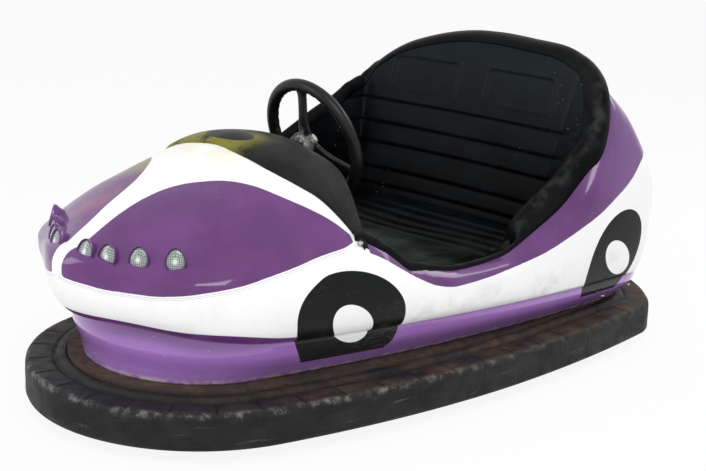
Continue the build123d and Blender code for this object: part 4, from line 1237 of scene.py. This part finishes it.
# CAD pieces that keep their own shape, by look: nodes, colour, roughness, metal, rust
NODE_FINISHES = [
    ("bumper_band", (84, 82, 80), 0.5, 0.8, 0.9), ("skirt_ledge", (66, 60, 56), 0.6, 0.3, 1.0),
    ("deck", (70, 70, 70), 0.55, 0.6, 0.8), ("deck_rails", (60, 60, 62), 0.5, 0.6, 0.7),
    ("toe_board", (34, 35, 36), 0.6, 0.0, 0.0), ("battery_block", (30, 30, 33), 0.45, 0.0, 0.0),
    ("floor_mat", (26, 26, 27), 0.85, 0.0, 0.0), ("pedal_bracket", (60, 60, 62), 0.5, 0.6, 0.5),
    ("pedal", (170, 170, 172), 0.35, 1.0, 0.0), ("steering_nut", (190, 188, 184), 0.28, 1.0, 0.0),
    ("steering_shaft", (150, 150, 152), 0.3, 1.0, 0.3), ("gearbox", (72, 76, 80), 0.5, 0.4, 0.4),
    ("column_tube", (30, 31, 33), 0.45, 0.0, 0.0), ("gearbox_stand", (40, 41, 43), 0.5, 0.3, 0.5),
    ("housing", (64, 64, 66), 0.5, 0.6, 0.7), ("turntable", (96, 96, 98), 0.45, 0.8, 0.5),
    ("drive_motor", (58, 66, 74), 0.45, 0.3, 0.2), ("kingpin", (160, 160, 162), 0.3, 1.0, 0.0),
    ("drive_fork rear_bracket_left rear_bracket_right", (56, 56, 58), 0.5, 0.5, 0.6),
    ("drive_axle rear_axle_left rear_axle_right", (150, 150, 152), 0.3, 1.0, 0.2),
    ("drive_hub rear_hub_left rear_hub_right", (110, 110, 112), 0.5, 0.8, 0.5)]


def dress_nodes(sizes, paint):
    """Gives each CAD piece that keeps its shape a finish of its own kind."""
    for nodes, rgb, rough, metal, rust in NODE_FINISHES:
        nodes = nodes.split()
        look = steel_finish(nodes[0] + "_finish", paint_colour(*rgb), rough, metal, rust, paint)
        for node in nodes:
            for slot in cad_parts[node].material_slots:
                slot.material = look


# ---- stage
CAMERA_TARGET = np.array([0.0454, -0.0653, 0.3418])
CAMERA_DISTANCE = 3.4348
CAMERA_TURN, CAMERA_RISE, CAMERA_ROLL = (math.radians(a) for a in (45.366, 14.778, 2.146))
WHITE = (1, 1, 1, 1)
FLOOR_HALF = 30
FLOOR_GLOW = 0.90            # how far the floor is shown white instead of lit
SKY_LIGHT = 0.55             # strength of the surround as a light
# soft lamps.  columns: name, place, aim, wide, high, watts
LAMPS = [("key", (2.6, -2.4, 3.6), (0, -0.1, 0.3), 2.4, 1.6, 92),
         ("front", (-1.8, -3.6, 1.9), (0, -0.4, 0.3), 1.2, 2.2, 34),
         ("back", (1.2, 3.2, 2.8), (0, 0.3, 0.5), 2.6, 1.0, 42)]


def make_camera(sizes):
    """The camera: a three-quarter view of the nose and left side, a little rolled."""
    ahead = np.array([-math.sin(CAMERA_TURN) * math.cos(CAMERA_RISE),
                      math.cos(CAMERA_TURN) * math.cos(CAMERA_RISE), -math.sin(CAMERA_RISE)])
    level = np.cross(ahead, [0, 0, 1])
    level = level / np.linalg.norm(level)
    head = np.cross(level, ahead)
    right = math.cos(CAMERA_ROLL) * level + math.sin(CAMERA_ROLL) * head
    up = math.cos(CAMERA_ROLL) * head - math.sin(CAMERA_ROLL) * level
    camera = bpy.data.objects.new("camera", bpy.data.cameras.new("camera"))
    bpy.context.scene.collection.objects.link(camera)
    camera.data.lens, camera.data.sensor_width = sizes.lens_length, 36
    camera.data.clip_start, camera.data.clip_end = 0.05, 200
    columns = right, up, -ahead, CAMERA_TARGET - ahead * CAMERA_DISTANCE
    camera.matrix_world = Matrix([*np.stack(columns, axis=1).tolist(), [0, 0, 0, 1]])
    bpy.context.scene.camera = camera


def make_stage(sizes, paint):
    """A white floor that keeps the car's soft shadow, an even white surround and soft lamps."""
    scene = bpy.context.scene
    scene.view_settings.view_transform = "Standard"
    make_camera(sizes)
    reach = np.linspace(-FLOOR_HALF, FLOOR_HALF, 3)
    floor = grid_object("floor", stack(reach[:, None], reach[None, :], -0.0005))
    cloth = Finish("floor_finish", Base_Color=(0.93, 0.93, 0.93, 1), Roughness=0.9)
    glow = cloth.node("ShaderNodeEmission", None, {"Color": WHITE, "Strength": 1.0})
    both = cloth.mixed(cloth.seen_plainly() * FLOOR_GLOW, cloth.shader, glow)
    cloth.tree.links.new(both, cloth.output.inputs[0])
    floor.data.materials.append(cloth.material)
    scene.world = bpy.data.worlds.new("surround")
    scene.world.use_nodes = True
    sky = Shading(scene.world.node_tree)
    ground, white = (sky.node("ShaderNodeBackground", None, {0: WHITE, 1: strength})
                     for strength in (SKY_LIGHT, 1.0))
    sky.node("ShaderNodeOutputWorld", None, {0: sky.mixed(sky.seen_plainly(), ground, white)})
    for name, place, aim, wide, high, watts in LAMPS:
        data = bpy.data.lights.new(name, "AREA")
        data.shape, data.size, data.size_y, data.energy = "RECTANGLE", wide, high, watts
        lamp = bpy.data.objects.new(name + "_lamp", data)
        scene.collection.objects.link(lamp)
        lamp.location = place
        turn = (Vector(aim) - Vector(place)).to_track_quat("-Z", "Y")
        lamp.rotation_euler = turn.to_euler()


# ---- operators
class CarOperator:
    """What the car's operators share: they call their makers with the scene's sizes and colours.
    A maker that can't finish raises its error through execute."""
    bl_options = {"REGISTER", "UNDO"}

    def execute(self, context):
        for maker in self.makers:
            maker(context.scene.car_sizes, context.scene.car_paint)
        return {"FINISHED"}


class CAR_OT_shell(CarOperator, bpy.types.Operator):
    """Build the painted upper shell"""
    bl_idname, bl_label, makers = "bumper_car.shell", "Upper shell", (make_shell,)


class CAR_OT_skirt(CarOperator, bpy.types.Operator):
    """Build the skirt below the shell"""
    bl_idname, bl_label, makers = "bumper_car.skirt", "Skirt", (make_skirt,)


class CAR_OT_bumper(CarOperator, bpy.types.Operator):
    """Build the rubber bumper ring with its cuts"""
    bl_idname, bl_label, makers = "bumper_car.bumper", "Bumper", (make_bumper,)


class CAR_OT_rim(CarOperator, bpy.types.Operator):
    """Build the cockpit's rim and the cowl ahead of it"""
    bl_idname, bl_label, makers = "bumper_car.rim", "Rim and cowl", (make_rim, make_cowl)


class CAR_OT_seat(CarOperator, bpy.types.Operator):
    """Build the tub, the seat's back and its pan"""
    bl_idname, bl_label, makers = "bumper_car.seat", "Seat and tub", (make_seat,)


class CAR_OT_lamps(CarOperator, bpy.types.Operator):
    """Build the scoops and glasses of the lamps"""
    bl_idname, bl_label, makers = "bumper_car.lamps", "Lamps", (make_lamps,)


class CAR_OT_steering(CarOperator, bpy.types.Operator):
    """Build the steering wheel"""
    bl_idname, bl_label, makers = "bumper_car.steering", "Steering wheel", (make_steering,)


class CAR_OT_tyres(CarOperator, bpy.types.Operator):
    """Build the tyres under the car"""
    bl_idname, bl_label, makers = "bumper_car.tyres", "Tyres", (make_tyres,)


class CAR_OT_fasteners(CarOperator, bpy.types.Operator):
    """Build the screws"""
    bl_idname, bl_label, makers = "bumper_car.fasteners", "Screws", (make_fasteners,)


class CAR_OT_metalwork(CarOperator, bpy.types.Operator):
    """Give the deck, drive, wheels and column their finishes"""
    bl_idname, bl_label, makers = "bumper_car.metalwork", "Metalwork finishes", (dress_nodes,)


class CAR_OT_stage(CarOperator, bpy.types.Operator):
    """Build the floor, the surround, the lamps and the camera"""
    bl_idname, bl_label, makers = "bumper_car.stage", "Stage", (make_stage,)


OPERATORS = (CAR_OT_shell, CAR_OT_skirt, CAR_OT_bumper, CAR_OT_rim, CAR_OT_seat, CAR_OT_lamps,
             CAR_OT_steering, CAR_OT_tyres, CAR_OT_fasteners, CAR_OT_metalwork, CAR_OT_stage)


class CAR_PT_panel(bpy.types.Panel):
    """Lists the car's operators, sizes and colours"""
    bl_label, bl_idname = "Bumper car", "CAR_PT_panel"
    bl_space_type, bl_region_type, bl_category = "VIEW_3D", "UI", "Bumper car"

    def draw(self, context):
        column = self.layout.column()
        for kind in OPERATORS:
            column.operator(kind.bl_idname)
        for group in (context.scene.car_sizes, context.scene.car_paint):
            for name in group.bl_rna.properties.keys():
                if name not in ("rna_type", "name"):
                    column.prop(group, name)


CLASSES = (CarPaint, CarSizes) + OPERATORS + (CAR_PT_panel,)


def register():
    for kind in CLASSES:
        bpy.utils.register_class(kind)
    bpy.types.Scene.car_paint = PointerProperty(type=CarPaint)
    bpy.types.Scene.car_sizes = PointerProperty(type=CarSizes)


def unregister():
    del bpy.types.Scene.car_sizes, bpy.types.Scene.car_paint
    for kind in reversed(CLASSES):
        bpy.utils.unregister_class(kind)


def main():
    register()
    for kind in OPERATORS:
        group, name = kind.bl_idname.split(".")
        getattr(getattr(bpy.ops, group), name)()


if __name__ == "__main__":
    main()
